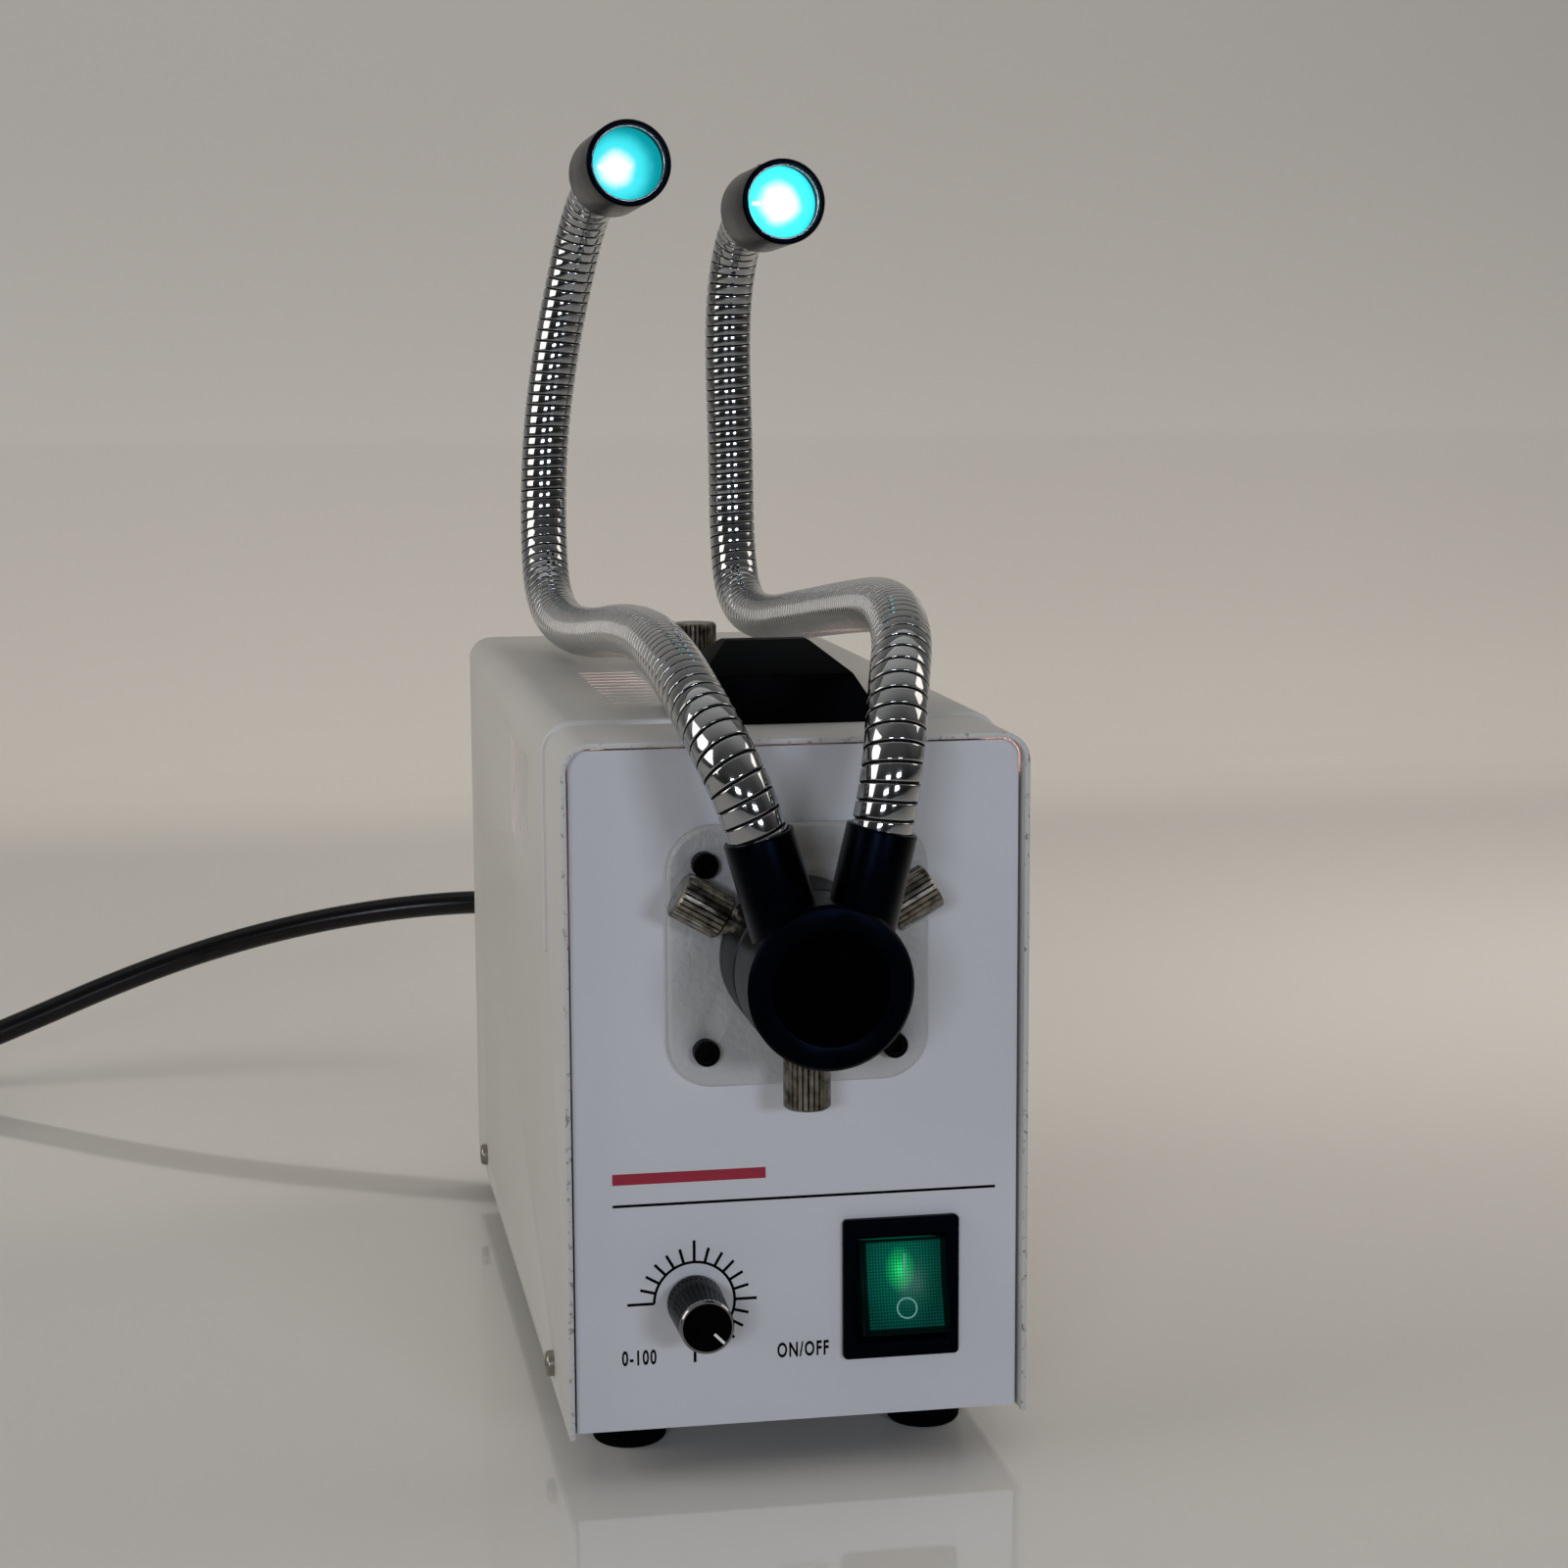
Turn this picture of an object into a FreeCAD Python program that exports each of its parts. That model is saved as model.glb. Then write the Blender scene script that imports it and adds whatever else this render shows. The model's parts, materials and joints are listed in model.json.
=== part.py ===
import FreeCAD, Part
import math
import os

V = FreeCAD.Vector

# ---------------------------------------------------------------------------
# Fiber optic illuminator: a sheet steel lamp house with a halogen lamp, a
# dimmer and a fan inside, and a two armed gooseneck light guide in its port.
# Millimetres.  X to the right, Y towards the back, Z up.  The origin is the
# middle of the machine's footprint, on the table.
# ---------------------------------------------------------------------------

# Driving dimensions of the case
CASE_W = 100.0
CASE_D = 243.0
CASE_TOP = 159.5
FOOT_H = 10.0
FRONT_Y = -108.0
SHEET = 1.1
BEND_R = 6.0

# The cover's pressed saddle, raised over the top and the upper sides
SADDLE_RISE = 1.0
SADDLE_Y0 = 31.0
SADDLE_Y1 = 212.0
SADDLE_Z0 = 110.0
SADDLE_EDGE = 0.35

# Louvre slots of the cover
LOUVRE_W = 2.2
LOUVRE_START = 64.0
SIDE_LOUVRES = 8
SIDE_LOUVRE_PITCH = 5.5
SIDE_LOUVRE_Z0 = 125.0
SIDE_LOUVRE_Z1 = 149.0
TOP_LOUVRES = 11
TOP_LOUVRE_PITCH = 6.5
TOP_LOUVRE_LEN = 14.0
TOP_LOUVRE_STARTS = (-31.5, 17.5)

# Small screws: shank, and the clearance holes they pass through
SHANK_R = 1.5
CLEAR_R = 1.7
GRIP_SCREW_XS = (-10.0, 10.0)
GRIP_SCREW_DEPTH = 40.0
TOP_SCREW_DEPTH = 145.0

# Front panel: dial, switch and light port
PANEL_W = 96.4
PANEL_TOP = 157.6
PANEL_BOTTOM = 10.4
PANEL_CORNER = 3.2
OVERLAY_Y = 3.0
OVERLAY_T = 0.6
STEEL_Y = OVERLAY_Y + OVERLAY_T
STEEL_T = 1.2
RETURN_DEPTH = 11.5
FLANGE_H = 14.0
REAR_Y = 239.0
DIAL_X = -22.6
DIAL_Z = 38.2
SWITCH_X = 22.4
SWITCH_Z = 39.0
PORT_Z = 113.5
PLATE_SIZE = 56.0
PLATE_T = 2.5
PLATE_SCREW_X = 20.2
PLATE_SCREW_Z = 20.0
COLLAR_R = 17.0
COLLAR_LEN = 18.0
FERRULE_R = 9.5
BUNDLE_R = 6.0
COLLAR_NECK_R = 14.0
RUNNING_GAP = 0.05

# Light guide
HUB_R = 17.0
CAP_R = 12.0
HUB_FRONT = -35.3
HUB_BACK = -18.0
FERRULE_SEAT = 2.0
SOCKET_Y = -27.5
SOCKET_R = 7.3
SOCKET_IN = 9.5
SOCKET_OUT = 31.6
HOSE_R = 6.3
SOCKET_SPREAD = 14.5
GUIDE_ROLL = 1.4
BALL_GAP = 0.5

# Lens barrels
BARREL_R = 11.0
BARREL_LEN = 28.0

# Mains cord
CORD_R = 3.9
CORD_X = 26.0
CORD_Z = 48.0

# Centrelines of the two goosenecks, from inside the socket to the barrel
LEFT_ROUTE = [
    (-10.278, -135.5, 132.618), (-14.812, -135.5, 148.534), (-19.4, -131.8, 159.3),
    (-23.0, -120.5, 168.3), (-24.9, -99.0, 174.8), (-25.3, -66.0, 177.4),
    (-25.8, -24.0, 175.4), (-26.9, 27.0, 169.8), (-29.2, 70.0, 167.6),
    (-31.5, 95.0, 173.0), (-31.4, 106.0, 190.3), (-30.4, 108.0, 215.7),
    (-27.3, 108.0, 238.3), (-23.6, 107.4, 256.5), (-19.6, 103.6, 274.5),
    (-16.4, 93.0, 284.3), (-15.4, 79.0, 285.5),
]
RIGHT_ROUTE = [
    (9.332, -135.5, 133.097), (13.275, -135.5, 150.044), (15.1, -132.8, 161.5),
    (17.8, -124.5, 172.8), (21.9, -110.0, 181.2), (26.2, -76.0, 184.6),
    (28.8, -26.0, 180.0), (28.2, 30.0, 173.6), (25.0, 74.0, 168.0),
    (22.2, 101.0, 170.8), (21.6, 108.5, 187.0), (21.5, 109.0, 213.0),
    (20.8, 109.0, 238.0), (21.2, 108.6, 254.5), (22.9, 106.0, 268.0),
    (24.6, 97.5, 275.4), (25.5, 84.0, 276.7),
]
LEFT_AIM = (0.070, -0.996, 0.0625)
RIGHT_AIM = (0.0685, -0.9966, 0.0477)
BASE_RUN = 3
TOP_RUN = 10

# Centreline of the mains cord, from the strain relief to the coil
CORD_ROUTE = [
    (26.0, 168.0, 48.0), (26.0, 196.0, 48.0), (22.0, 226.0, 50.5),
    (9.0, 255.0, 54.0), (-12.0, 277.0, 55.5), (-39.0, 290.0, 55.0),
    (-70.0, 296.5, 52.0), (-101.0, 298.0, 47.0), (-131.0, 296.0, 40.0),
    (-160.0, 291.5, 31.0), (-188.0, 286.5, 20.5), (-216.0, 283.0, 10.5),
    (-240.0, 281.0, 4.6), (-263.0, 281.0, 4.0),
]
COIL_X = -263.0
COIL_Y = 233.0
COIL_MEAN_R = 41.0
COIL_OUTER_TURN = 48.0
COIL_H = 14.6

os.makedirs("parts", exist_ok=True)
report = []


def yd(depth):
    """Y of a point given by its depth behind the cover's front edge."""
    return FRONT_Y + depth


def save(name, *solids):
    """Write one node, a single solid or a group of separate ones."""
    shape = solids[0] if len(solids) == 1 else Part.makeCompound(solids)
    shape.exportStep("parts/" + name + ".step")
    count = len(shape.Solids)
    report.append(name)
    print("%-22s solids %d  volume %.0f  valid %s" % (name, count, shape.Volume, shape.isValid()))


def box(x0, x1, y0, y1, z0, z1):
    """Box between two corners."""
    return Part.makeBox(x1 - x0, y1 - y0, z1 - z0, V(x0, y0, z0))


def rod(start, axis, radius, length):
    """Cylinder from a start point along an axis."""
    return Part.makeCylinder(radius, length, V(*start), V(*axis))


def cone(start, axis, r0, r1, length):
    """Cone frustum from a start point along an axis."""
    return Part.makeCone(r0, r1, length, V(*start), V(*axis))


def union(shapes):
    """Fuse a list of shapes into one solid and clean its seams."""
    result = shapes[0]
    if len(shapes) > 1:
        result = result.multiFuse(shapes[1:])
    return result.removeSplitter()


def edges_along(shape, axis, test=None):
    """Straight edges parallel to an axis that pass a test on their middle."""
    found = []
    for edge in shape.Edges:
        if edge.Curve.TypeId != "Part::GeomLine":
            continue
        d = edge.tangentAt(edge.FirstParameter)
        if abs(abs(d.dot(V(*axis))) - 1.0) > 1e-6:
            continue
        if test is None or test(edge.CenterOfMass):
            found.append(edge)
    return found


def plate_xz(x0, x1, z0, z1, y0, y1, radius, corners="all"):
    """Flat plate facing the front, with rounded corners."""
    plate = box(x0, x1, y0, y1, z0, z1)
    middle = (z0 + z1) / 2

    def wanted(c):
        return corners == "all" or c.z > middle

    return plate.makeFillet(radius, edges_along(plate, (0, 1, 0), wanted))


def revolve_y(profile, centre, turn=360.0):
    """Solid turned about a line along Y; the profile is a list of (radius, y)."""
    points = [V(centre[0] + r, y, centre[1]) for r, y in profile]
    wire = Part.makePolygon(points + [points[0]])
    return Part.Face(wire).revolve(V(centre[0], 0, centre[1]), V(0, 1, 0), turn)


def socket_axis(side):
    """Foot and direction of a hose socket on the hub, side -1 left, 1 right."""
    roll = math.radians(GUIDE_ROLL)
    foot_x = side * 4.8 * math.cos(roll)
    foot_z = PORT_Z + side * 4.8 * math.sin(roll)
    lean = math.radians(side * SOCKET_SPREAD - GUIDE_ROLL)
    return V(foot_x, yd(SOCKET_Y), foot_z), V(math.sin(lean), 0, math.cos(lean))


def rounded_path(points, name):
    """Wire of straight runs joined by tangent arcs, and its length."""
    pts = [V(*p) for p in points]
    edges = []
    radii = []
    start = pts[0]
    for i in range(1, len(pts) - 1):
        before = pts[i] - pts[i - 1]
        after = pts[i + 1] - pts[i]
        turn = before.getAngle(after)
        cut = 0.45 * min(before.Length, after.Length)
        radii.append(cut / math.tan(turn / 2))
        before.normalize()
        after.normalize()
        arc_in = pts[i] - before * cut
        arc_out = pts[i] + after * cut
        inward = (after - before).normalize()
        middle = pts[i] + inward * (radii[-1] / math.cos(turn / 2) - radii[-1])
        edges.append(Part.LineSegment(start, arc_in).toShape())
        edges.append(Part.Arc(arc_in, middle, arc_out).toShape())
        start = arc_out
    edges.append(Part.LineSegment(start, pts[-1]).toShape())
    wire = Part.Wire(edges)
    text = " ".join("%.0f" % r for r in radii)
    print("%s length %.1f radii %s" % (name, wire.Length, text))
    return wire


def tube_on(wire, radius, name):
    """Solid round bar swept along a path, checked against section times length."""
    edge = wire.Edges[0]
    start = edge.valueAt(edge.FirstParameter)
    ring = Part.Circle(start, edge.tangentAt(edge.FirstParameter), radius).toShape()
    solid = wire.makePipeShell([Part.Wire([ring])], True, True)
    expected = math.pi * radius ** 2 * wire.Length
    print("%s volume ratio %.4f" % (name, solid.Volume / expected))
    return solid


# --- Case ------------------------------------------------------------------

COVER_IN_X = CASE_W / 2 - SHEET
SCREW_Z = 15.8
SCREW_DEPTHS = (34.0, 214.0)


def arch(half_w, top, bottom, y0, y1, radius):
    """Solid block with its two top edges rounded."""
    block = box(-half_w, half_w, y0, y1, bottom, top)
    return block.makeFillet(radius, edges_along(block, (0, 1, 0), lambda c: c.z > top - 1))


def make_cover():
    """Folded cover with a pressed saddle, louvre slots and four screw holes."""
    half = CASE_W / 2
    y0, y1 = yd(0), yd(CASE_D)
    s0, s1 = yd(SADDLE_Y0), yd(SADDLE_Y1)
    rise = SADDLE_RISE
    outer = arch(half, CASE_TOP, FOOT_H, y0, y1, BEND_R)
    raised = arch(half + rise, CASE_TOP + rise, SADDLE_Z0, s0, s1, BEND_R + rise)
    rim = [e for e in raised.Edges if abs(e.BoundBox.YMin - e.BoundBox.YMax) < 1e-6]
    rim += edges_along(raised, (0, 1, 0), lambda c: abs(c.z - SADDLE_Z0) < 1e-6)
    raised = raised.makeChamfer(rise * SADDLE_EDGE, rim)
    inner = arch(half - SHEET, CASE_TOP - SHEET, FOOT_H - 1, y0 - 1, y1 + 1, BEND_R - SHEET)
    pressed = arch(half + rise - SHEET, CASE_TOP + rise - SHEET, SADDLE_Z0 + SHEET,
                   s0 + SHEET, s1 - SHEET, BEND_R + rise - SHEET)
    cover = outer.fuse(raised).cut(inner).cut(pressed)
    corner = 5.0
    for side in (-1, 1):
        blank = box(side * half - 3, side * half + 3, y1 - corner, y1 + 1, FOOT_H - 1, FOOT_H + corner)
        disc = rod((side * half - 3, y1 - corner, FOOT_H + corner), (1, 0, 0), corner, 6)
        cover = cover.cut(blank.cut(disc))
    slots = []
    for i in range(SIDE_LOUVRES):
        y = yd(LOUVRE_START + SIDE_LOUVRE_PITCH * i)
        front, rear = y - LOUVRE_W / 2, y + LOUVRE_W / 2
        slots.append(box(-half - 3, half + 3, front, rear, SIDE_LOUVRE_Z0, SIDE_LOUVRE_Z1))
    for i in range(TOP_LOUVRES):
        y = yd(LOUVRE_START + TOP_LOUVRE_PITCH * i)
        front, rear = y - LOUVRE_W / 2, y + LOUVRE_W / 2
        for x in TOP_LOUVRE_STARTS:
            slots.append(box(x, x + TOP_LOUVRE_LEN, front, rear, CASE_TOP - 4, CASE_TOP + 3))
    for depth in SCREW_DEPTHS:
        slots.append(rod((-half - 3, yd(depth), SCREW_Z), (1, 0, 0), CLEAR_R, CASE_W + 6))
    slots.append(rod((0, yd(TOP_SCREW_DEPTH), CASE_TOP - 4), (0, 0, 1), TOP_SHANK_R + 0.3, 8))
    for x in GRIP_SCREW_XS:
        slots.append(rod((x, yd(GRIP_SCREW_DEPTH), CASE_TOP - 4), (0, 0, 1), CLEAR_R, 8))
    return cover.cut(Part.makeCompound(slots))


def pan_screw(start, axis, head_r, head_h, shank_r, shank_len):
    """Cross recess pan head screw; start is under the head, axis points in."""
    axis = V(*axis)
    start = V(*start)
    head = Part.makeCylinder(head_r, head_h, start - axis * head_h, axis)
    rim = [e for e in head.Edges if e.Curve.TypeId == "Part::GeomCircle"
           and (e.CenterOfMass - start).Length > head_h * 0.5]
    head = head.makeFillet(head_h * 0.45, rim)
    shank = Part.makeCylinder(shank_r, shank_len, start, axis)
    screw = head.fuse(shank)
    across = V(0, 0, 1) if abs(axis.z) < 0.5 else V(1, 0, 0)
    other = axis.cross(across)
    for direction in (across, other):
        bar = Part.makeBox(0.7, head_r * 1.1, 1.2, V(-0.35, -head_r * 0.55, -0.2))
        placement = FreeCAD.Placement()
        placement.Rotation = FreeCAD.Rotation(direction.cross(axis), direction, axis, "ZXY")
        placement.Base = start - axis * head_h
        bar.Placement = placement
        screw = screw.cut(bar)
    return screw


def make_cover_screws():
    """Equal pan head screws: four in the cover's sides, two up into the grip."""
    under = CASE_TOP + SADDLE_RISE - SHEET
    places = [((x, yd(GRIP_SCREW_DEPTH), under), (0, 0, 1)) for x in GRIP_SCREW_XS]
    for side in (-1, 1):
        for depth in SCREW_DEPTHS:
            places.append(((side * CASE_W / 2, yd(depth), SCREW_Z), (-side, 0, 0)))
    return [pan_screw(start, axis, 2.9, 1.8, SHANK_R, 7.0) for start, axis in places]


def plate_screw_places():
    """X and Z of the four screws of the light port's plate."""
    return [(sx * PLATE_SCREW_X, PORT_Z + sz * PLATE_SCREW_Z) for sx in (-1, 1) for sz in (-1, 1)]


def front_cutouts():
    """Openings of the front panel: port, dial shaft, switch and plate screws."""
    y0 = yd(OVERLAY_Y - 2)
    reach = STEEL_T + OVERLAY_T + 4
    cuts = [rod((0, y0, PORT_Z), (0, 1, 0), COLLAR_NECK_R + 0.2, reach)]
    cuts.append(rod((DIAL_X, y0, DIAL_Z), (0, 1, 0), BUSH_R + 0.1, reach))
    half_w, half_h = SWITCH_BODY_W / 2 + 0.2, SWITCH_BODY_H / 2 + 0.1
    cuts.append(box(SWITCH_X - half_w, SWITCH_X + half_w, y0, y0 + reach,
                    SWITCH_Z - half_h, SWITCH_Z + half_h))
    for x, z in plate_screw_places():
        cuts.append(rod((x, y0, z), (0, 1, 0), CLEAR_R + 0.1, reach))
    return Part.makeCompound(cuts)


def make_chassis():
    """Bent steel base: front panel with returned edges, floor with vents, side flanges."""
    flange_x = COVER_IN_X - 0.4
    floor_z = PANEL_BOTTOM
    front = plate_xz(-PANEL_W / 2, PANEL_W / 2, floor_z, PANEL_TOP, yd(STEEL_Y), yd(STEEL_Y + STEEL_T),
                     PANEL_CORNER, "top")
    reveal = 8.0
    floor = box(-flange_x, flange_x, yd(STEEL_Y), yd(REAR_Y), floor_z, floor_z + STEEL_T)
    parts = [front, floor]
    for side in (-1, 1):
        x0, x1 = sorted((side * flange_x, side * (flange_x - STEEL_T)))
        parts.append(box(x0, x1, yd(RETURN_DEPTH + 0.5), yd(REAR_Y - 2), floor_z, floor_z + FLANGE_H))
        x0, x1 = sorted((side * PANEL_W / 2, side * (PANEL_W / 2 - STEEL_T)))
        parts.append(box(x0, x1, yd(STEEL_Y), yd(RETURN_DEPTH), floor_z, PANEL_TOP - reveal))
    parts.append(box(reveal - PANEL_W / 2, PANEL_W / 2 - reveal, yd(STEEL_Y), yd(RETURN_DEPTH),
                     PANEL_TOP - STEEL_T, PANEL_TOP))
    chassis = union(parts).cut(front_cutouts())
    cuts = []
    for depth in SCREW_DEPTHS:
        cuts.append(rod((-60, yd(depth), SCREW_Z), (1, 0, 0), SHANK_R + 0.05, 120))
    for depth in FLOOR_VENTS:
        cuts.append(box(-16, 13, yd(depth - 1.5), yd(depth + 1.5), floor_z - 1, floor_z + 3))
    for x, depth in FOOT_PLACES:
        cuts.append(rod((x, yd(depth), floor_z - 1), (0, 0, 1), FOOT_HOLE_R, 4))
    return chassis.cut(Part.makeCompound(cuts))


FLOOR_VENTS = (42.0, 50.0, 58.0, 66.0, 190.0, 198.0, 206.0)
FOOT_PLACES = [(-34.0, 27.0), (33.0, 27.0), (-34.0, 216.0), (33.0, 216.0)]
FOOT_R = 9.3
FOOT_HOLE_R = 1.75


def make_feet():
    """Four turned rubber feet under the floor, with a screw well each."""
    feet = []
    for x, depth in FOOT_PLACES:
        foot = cone((x, yd(depth), 0), (0, 0, 1), FOOT_R - 1.3, FOOT_R, PANEL_BOTTOM)
        low = [e for e in foot.Edges if e.Curve.TypeId == "Part::GeomCircle" and e.CenterOfMass.z < 1]
        foot = foot.makeFillet(1.6, low)
        foot = foot.cut(rod((x, yd(depth), -1), (0, 0, 1), 4.0, 5))
        feet.append(foot.cut(rod((x, yd(depth), 0), (0, 0, 1), FOOT_HOLE_R, 20)))
    return feet


def make_foot_screws():
    """One screw and nut through each foot and the floor."""
    screws = []
    for x, depth in FOOT_PLACES:
        screw = pan_screw((x, yd(depth), 4.0), (0, 0, 1), 3.0, 1.8, FOOT_HOLE_R - 0.05, 11.4)
        nut = Part.Face(Part.makePolygon([
            V(x + 3.2 * math.cos(a), yd(depth) + 3.2 * math.sin(a), PANEL_BOTTOM + STEEL_T)
            for a in [math.radians(60 * k) for k in range(7)]])).extrude(V(0, 0, 2.4))
        screws.append(screw.fuse(nut))
    return screws


def make_overlay():
    """Thin printed sheet over the front panel."""
    sheet = plate_xz(-PANEL_W / 2, PANEL_W / 2, PANEL_BOTTOM, PANEL_TOP, yd(OVERLAY_Y),
                     yd(OVERLAY_Y + OVERLAY_T), PANEL_CORNER, "top")
    return sheet.cut(front_cutouts())


FAN_Z = 108.0
FAN_HOLE = 35.75
FAN_SCREW_R = 1.8
FAN_BORE = 38.0
FUSE_X = -24.0
FUSE_Z = 42.0
FUSE_R = 6.2
CORD_HOLE_R = 6.5


def make_rear_panel():
    """Rear wall with the fan opening, the cord gland hole and the fuse hole."""
    y0 = yd(REAR_Y)
    panel = plate_xz(-PANEL_W / 2, PANEL_W / 2, PANEL_BOTTOM, PANEL_TOP, y0, y0 + STEEL_T,
                     PANEL_CORNER, "top")
    cuts = [rod((0, y0 - 1, FAN_Z), (0, 1, 0), FAN_BORE, 4)]
    cuts.append(rod((CORD_X, y0 - 1, CORD_Z), (0, 1, 0), CORD_HOLE_R, 4))
    cuts.append(rod((FUSE_X, y0 - 1, FUSE_Z), (0, 1, 0), FUSE_R + 0.1, 4))
    return panel.cut(Part.makeCompound(cuts + fan_holes(y0 - 1, 4)))


def fan_holes(y0, reach):
    """Cutters for the four screw holes of the fan."""
    return [rod((sx * FAN_HOLE, y0, FAN_Z + sz * FAN_HOLE), (0, 1, 0), FAN_SCREW_R + 0.2, reach)
            for sx in (-1, 1) for sz in (-1, 1)]


# --- Top grip and top thumb screw -----------------------------------------

GRIP_Y0 = 24.5
GRIP_LEN = 33.0
GRIP_HALF = 20.0
GRIP_WALL = 165.4
GRIP_RIDGE = 176.6
TOP_Z = CASE_TOP + SADDLE_RISE


def make_grip():
    """Moulded grip with a hipped top and a finger groove at the back."""
    y0, y1 = yd(GRIP_Y0), yd(GRIP_Y0 + GRIP_LEN)
    middle = (y0 + y1) / 2
    section = [(-GRIP_HALF, TOP_Z), (GRIP_HALF, TOP_Z), (GRIP_HALF, GRIP_WALL), (16.6, 170.4),
               (9.3, GRIP_RIDGE), (-9.3, GRIP_RIDGE), (-16.6, 170.4), (-GRIP_HALF, GRIP_WALL)]
    points = [V(x, y0, z) for x, z in section]
    block = Part.Face(Part.makePolygon(points + [points[0]])).extrude(V(0, y1 - y0, 0))
    hip = [(y0, TOP_Z - 1), (y1, TOP_Z - 1), (y1, 170.2), (middle + 3, GRIP_RIDGE),
           (middle - 3, GRIP_RIDGE), (y0, 170.2)]
    side = [V(-30, y, z) for y, z in hip]
    roof = Part.Face(Part.makePolygon(side + [side[0]])).extrude(V(60, 0, 0))
    grip = block.common(roof)
    groove = rod((-30, y1 + 1.2, 165.0), (1, 0, 0), 3.4, 60)
    grip = grip.cut(groove)
    step = box(-30, 30, y0 - 1, yd(SADDLE_Y0), TOP_Z - 1, TOP_Z)
    foot = box(-GRIP_HALF, GRIP_HALF, y0, yd(SADDLE_Y0 - 0.3), CASE_TOP, TOP_Z)
    grip = union([grip.cut(step), foot])
    for x in GRIP_SCREW_XS:
        grip = grip.cut(rod((x, yd(GRIP_SCREW_DEPTH), TOP_Z - 2), (0, 0, 1), SHANK_R, 9))
    return grip


TOP_SHANK_R = 2.0


def knurled(start, axis, radius, length, teeth, depth):
    """Straight knurled knob: a cylinder with V grooves and broken edges."""
    axis = V(*axis)
    start = V(*start)
    knob = Part.makeCylinder(radius, length, start, axis)
    knob = knob.makeChamfer(0.5, [e for e in knob.Edges if e.Curve.TypeId == "Part::GeomCircle"])
    across = V(0, 0, 1).cross(axis)
    if across.Length < 0.1:
        across = V(1, 0, 0)
    across.normalize()
    up = axis.cross(across)
    cutters = []
    for i in range(teeth):
        a = 2 * math.pi * i / teeth
        out = across * math.cos(a) + up * math.sin(a)
        tip = start + out * (radius - depth) - axis
        side = axis.cross(out) * (depth * 0.9)
        outer = start + out * (radius + 0.2) - axis
        face = Part.Face(Part.makePolygon([tip, outer + side, outer - side, tip]))
        cutters.append(face.extrude(axis * (length + 2)))
    return knob.cut(Part.makeCompound(cutters))


def make_top_screw():
    """Captive thumb screw that holds the cover to the post below it."""
    y = yd(TOP_SCREW_DEPTH)
    head = knurled((0, y, 164.6), (0, 0, 1), 5.6, 6.6, 30, 0.4)
    neck = rod((0, y, 162.7), (0, 0, 1), 3.3, 1.9)
    flange = rod((0, y, TOP_Z + 0.3), (0, 0, 1), 4.9, 1.9)
    shank = rod((0, y, 150.0), (0, 0, 1), TOP_SHANK_R, 13.0)
    return union([head, neck, flange, shank])


# --- Light port ------------------------------------------------------------

PLATE_Y = OVERLAY_Y - PLATE_T
PLATE_CORNER = 10.0
PLATE_HEAD_H = 3.2
THUMB_DEPTH = -8.0
THUMB_SHANK_R = 2.0
THUMB_ANGLES = {"left": 150.0, "right": 30.0, "bottom": 270.0}


def make_port_plate():
    """Square mounting plate with rounded corners on the front panel."""
    half = PLATE_SIZE / 2
    plate = plate_xz(-half, half, PORT_Z - half, PORT_Z + half, yd(PLATE_Y), yd(OVERLAY_Y),
                     PLATE_CORNER)
    outer = [e for e in plate.Edges if abs(e.CenterOfMass.y - yd(PLATE_Y)) < 1e-6]
    plate = plate.makeFillet(0.9, outer)
    plate = plate.cut(rod((0, yd(-5), PORT_Z), (0, 1, 0), COLLAR_NECK_R + 0.1, 12))
    holes = [rod((x, yd(-5), z), (0, 1, 0), CLEAR_R, 12) for x, z in plate_screw_places()]
    return plate.cut(Part.makeCompound(holes))


def make_plate_screws():
    """Four black socket head screws with nuts behind the panel."""
    screws = []
    for x, z in plate_screw_places():
        head = rod((x, yd(PLATE_Y - PLATE_HEAD_H), z), (0, 1, 0), 2.75, PLATE_HEAD_H)
        head = head.makeFillet(0.35, [e for e in head.Edges if e.CenterOfMass.y < yd(PLATE_Y - 3)])
        points = [V(x + 1.45 * math.cos(math.radians(60 * k)), yd(PLATE_Y - PLATE_HEAD_H - 0.2),
                    z + 1.45 * math.sin(math.radians(60 * k))) for k in range(7)]
        hexagon = Part.Face(Part.makePolygon(points)).extrude(V(0, 1.9, 0))
        shank = rod((x, yd(PLATE_Y), z), (0, 1, 0), SHANK_R, 10.0)
        nut = rod((x, yd(STEEL_Y + STEEL_T), z), (0, 1, 0), 2.9, 2.4)
        screws.append(head.cut(hexagon).fuse(shank).fuse(nut))
    return screws


def make_collar():
    """Anodised collar: takes the light guide, with three clamp screw holes."""
    back = 10.0
    bore = FERRULE_R + RUNNING_GAP
    front = PLATE_Y - COLLAR_LEN
    profile = [(bore, yd(front + 0.6)), (bore + 0.6, yd(front)), (COLLAR_R - 0.8, yd(front)),
               (COLLAR_R, yd(front + 0.8)), (COLLAR_R, yd(PLATE_Y)), (COLLAR_NECK_R, yd(PLATE_Y)),
               (COLLAR_NECK_R, yd(back)), (bore, yd(back))]
    collar = revolve_y(profile, (0, PORT_Z))
    for angle in THUMB_ANGLES.values():
        a = math.radians(angle)
        axis = (math.cos(a), 0, math.sin(a))
        collar = collar.cut(rod((0, yd(THUMB_DEPTH), PORT_Z), axis, THUMB_SHANK_R + RUNNING_GAP, 25))
    return collar


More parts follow.
